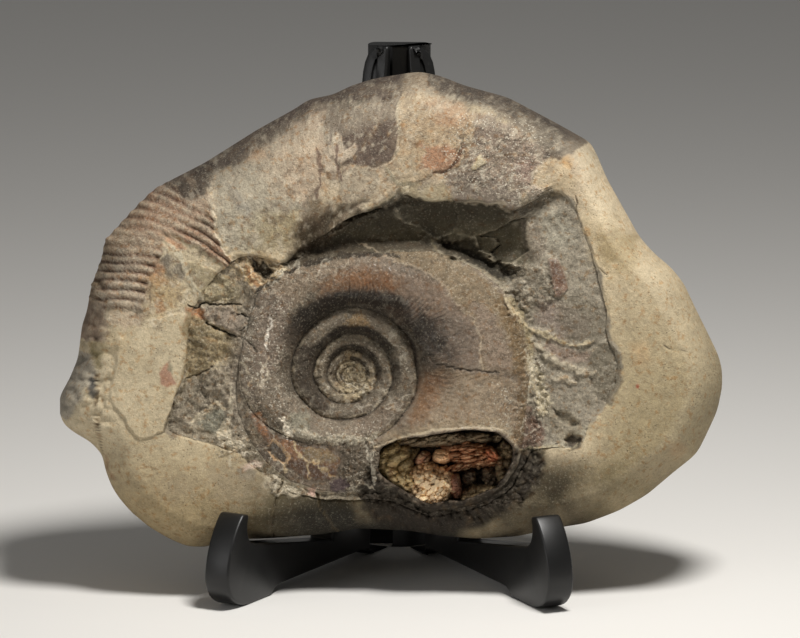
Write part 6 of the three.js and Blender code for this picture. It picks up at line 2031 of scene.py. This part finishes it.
def plastic_finish():
    f = Finish("black plastic")
    cloud, grain = f.noise(14, 3), f.noise(0.25, 2)
    squashed = f.node(
        "ShaderNodeVectorMath", {"operation": "MULTIPLY"}, {0: f.place, 1: (1, 1, 0.07)}
    )
    scuffs = f.ramp(f.noise(0.5, 2, place=squashed), 0.62, 0.72) * f.ramp(cloud, 0.5, 0.65)
    colour = f.mix(0.6 * scuffs + 0.1 * cloud, "#0d0d0d", "#2c2b29")
    dusty = f.ramp(f.noise(0.35, 2), 0.72, 0.8) * f.ramp(f.noise(6, 2), 0.5, 0.7)
    colour = f.mix(0.35 * dusty, colour, "#8a847a")
    roughness = 0.32 + 0.16 * cloud + 0.15 * scuffs
    normal = f.bump(grain + 0.4 * scuffs, 0.05, 0.35)
    return f.finished(Base_Color=colour, Roughness=roughness, Normal=normal)


def floor_finish():
    f = Finish("pale floor")
    wash = f.noise(600, 2)
    colour = f.mix(wash, *FLOOR_SHADES)
    return f.finished(Base_Color=colour, Roughness=0.55 + 0.1 * wash, Specular_IOR_Level=0.2)


# ---- the stage ------------------------------------------------------------------------
FLOOR_SHADES = ("#e9e7e3", "#e4e2de")
FLOOR_SIZE = 8.0
AIM = (2.7, -2.7, 0)
CAMERA_DISTANCE = 3.0
LENS = 450.0
SENSOR = 36.0
ROOM_LIGHT = 0.11
MIDDLE = (0, -0.02, 0.08)  # what the lamps point at, in metres
# Lamps: name, place, aim, size across, watts, colour.
KEY_LIGHT = ("key light", (0.14, -0.2, 0.6), MIDDLE, 0.16, 4.4, (1.0, 0.98, 0.95))
FILL_LIGHT = ("fill light", (-0.9, -0.75, 0.4), MIDDLE, 0.6, 2.1, (1.0, 0.99, 0.98))


def floor():
    deselect()
    bpy.ops.mesh.primitive_plane_add(size=FLOOR_SIZE)
    piece = bpy.context.object
    piece.name = piece.data.name = "floor"
    return piece


def area_light(name, place, aim, size, watts, tone):
    deselect()
    bpy.ops.object.light_add(type="AREA", location=place)
    lamp = bpy.context.object
    lamp.name = name
    lamp.rotation_euler = (Vector(aim) - Vector(place)).to_track_quat("-Z", "Y").to_euler()
    lamp.data.shape = "DISK"
    lamp.data.size = size
    lamp.data.energy = watts
    lamp.data.color = tone


def camera():
    out_of_face = Vector((0, -math.cos(LEAN), math.sin(LEAN)))
    aim = Vector(to_row_frame(*(np.array([a]) for a in AIM))[0])
    bpy.ops.object.camera_add(location=aim + out_of_face * CAMERA_DISTANCE)
    lens = bpy.context.object
    lens.rotation_euler = out_of_face.to_track_quat("Z", "Y").to_euler()
    lens.data.sensor_width = SENSOR
    lens.data.lens = LENS
    bpy.context.scene.camera = lens


def room():
    world = bpy.data.worlds.new("soft room")
    world.use_nodes = True
    inputs = world.node_tree.nodes["Background"].inputs
    inputs["Color"].default_value = (1, 0.99, 0.97, 1)
    inputs["Strength"].default_value = ROOM_LIGHT
    bpy.context.scene.world = world


# ---- putting it together --------------------------------------------------------------
def hand_over(piece, node, finish):
    piece.data.materials.clear()
    piece.data.materials.append(finish)
    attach(piece, "root")
    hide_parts(node)


stone = stone_finish()
for build in (coil, ground, surface, back):
    hand_over(build(), "ammonite_nodule", stone)
hand_over(crust(), "chamber_crust", crust_finish())
plastic = plastic_finish()
hand_over(side_frame("left_frame", -1), "easel_frame_left", plastic)
hand_over(side_frame("right_frame", 1), "easel_frame_right", plastic)
hand_over(post(), "easel_post", plastic)

ground_plane = floor()
ground_plane.data.materials.append(floor_finish())
room()
area_light(*KEY_LIGHT)
area_light(*FILL_LIGHT)
camera()
bpy.context.scene.view_settings.view_transform = "Standard"
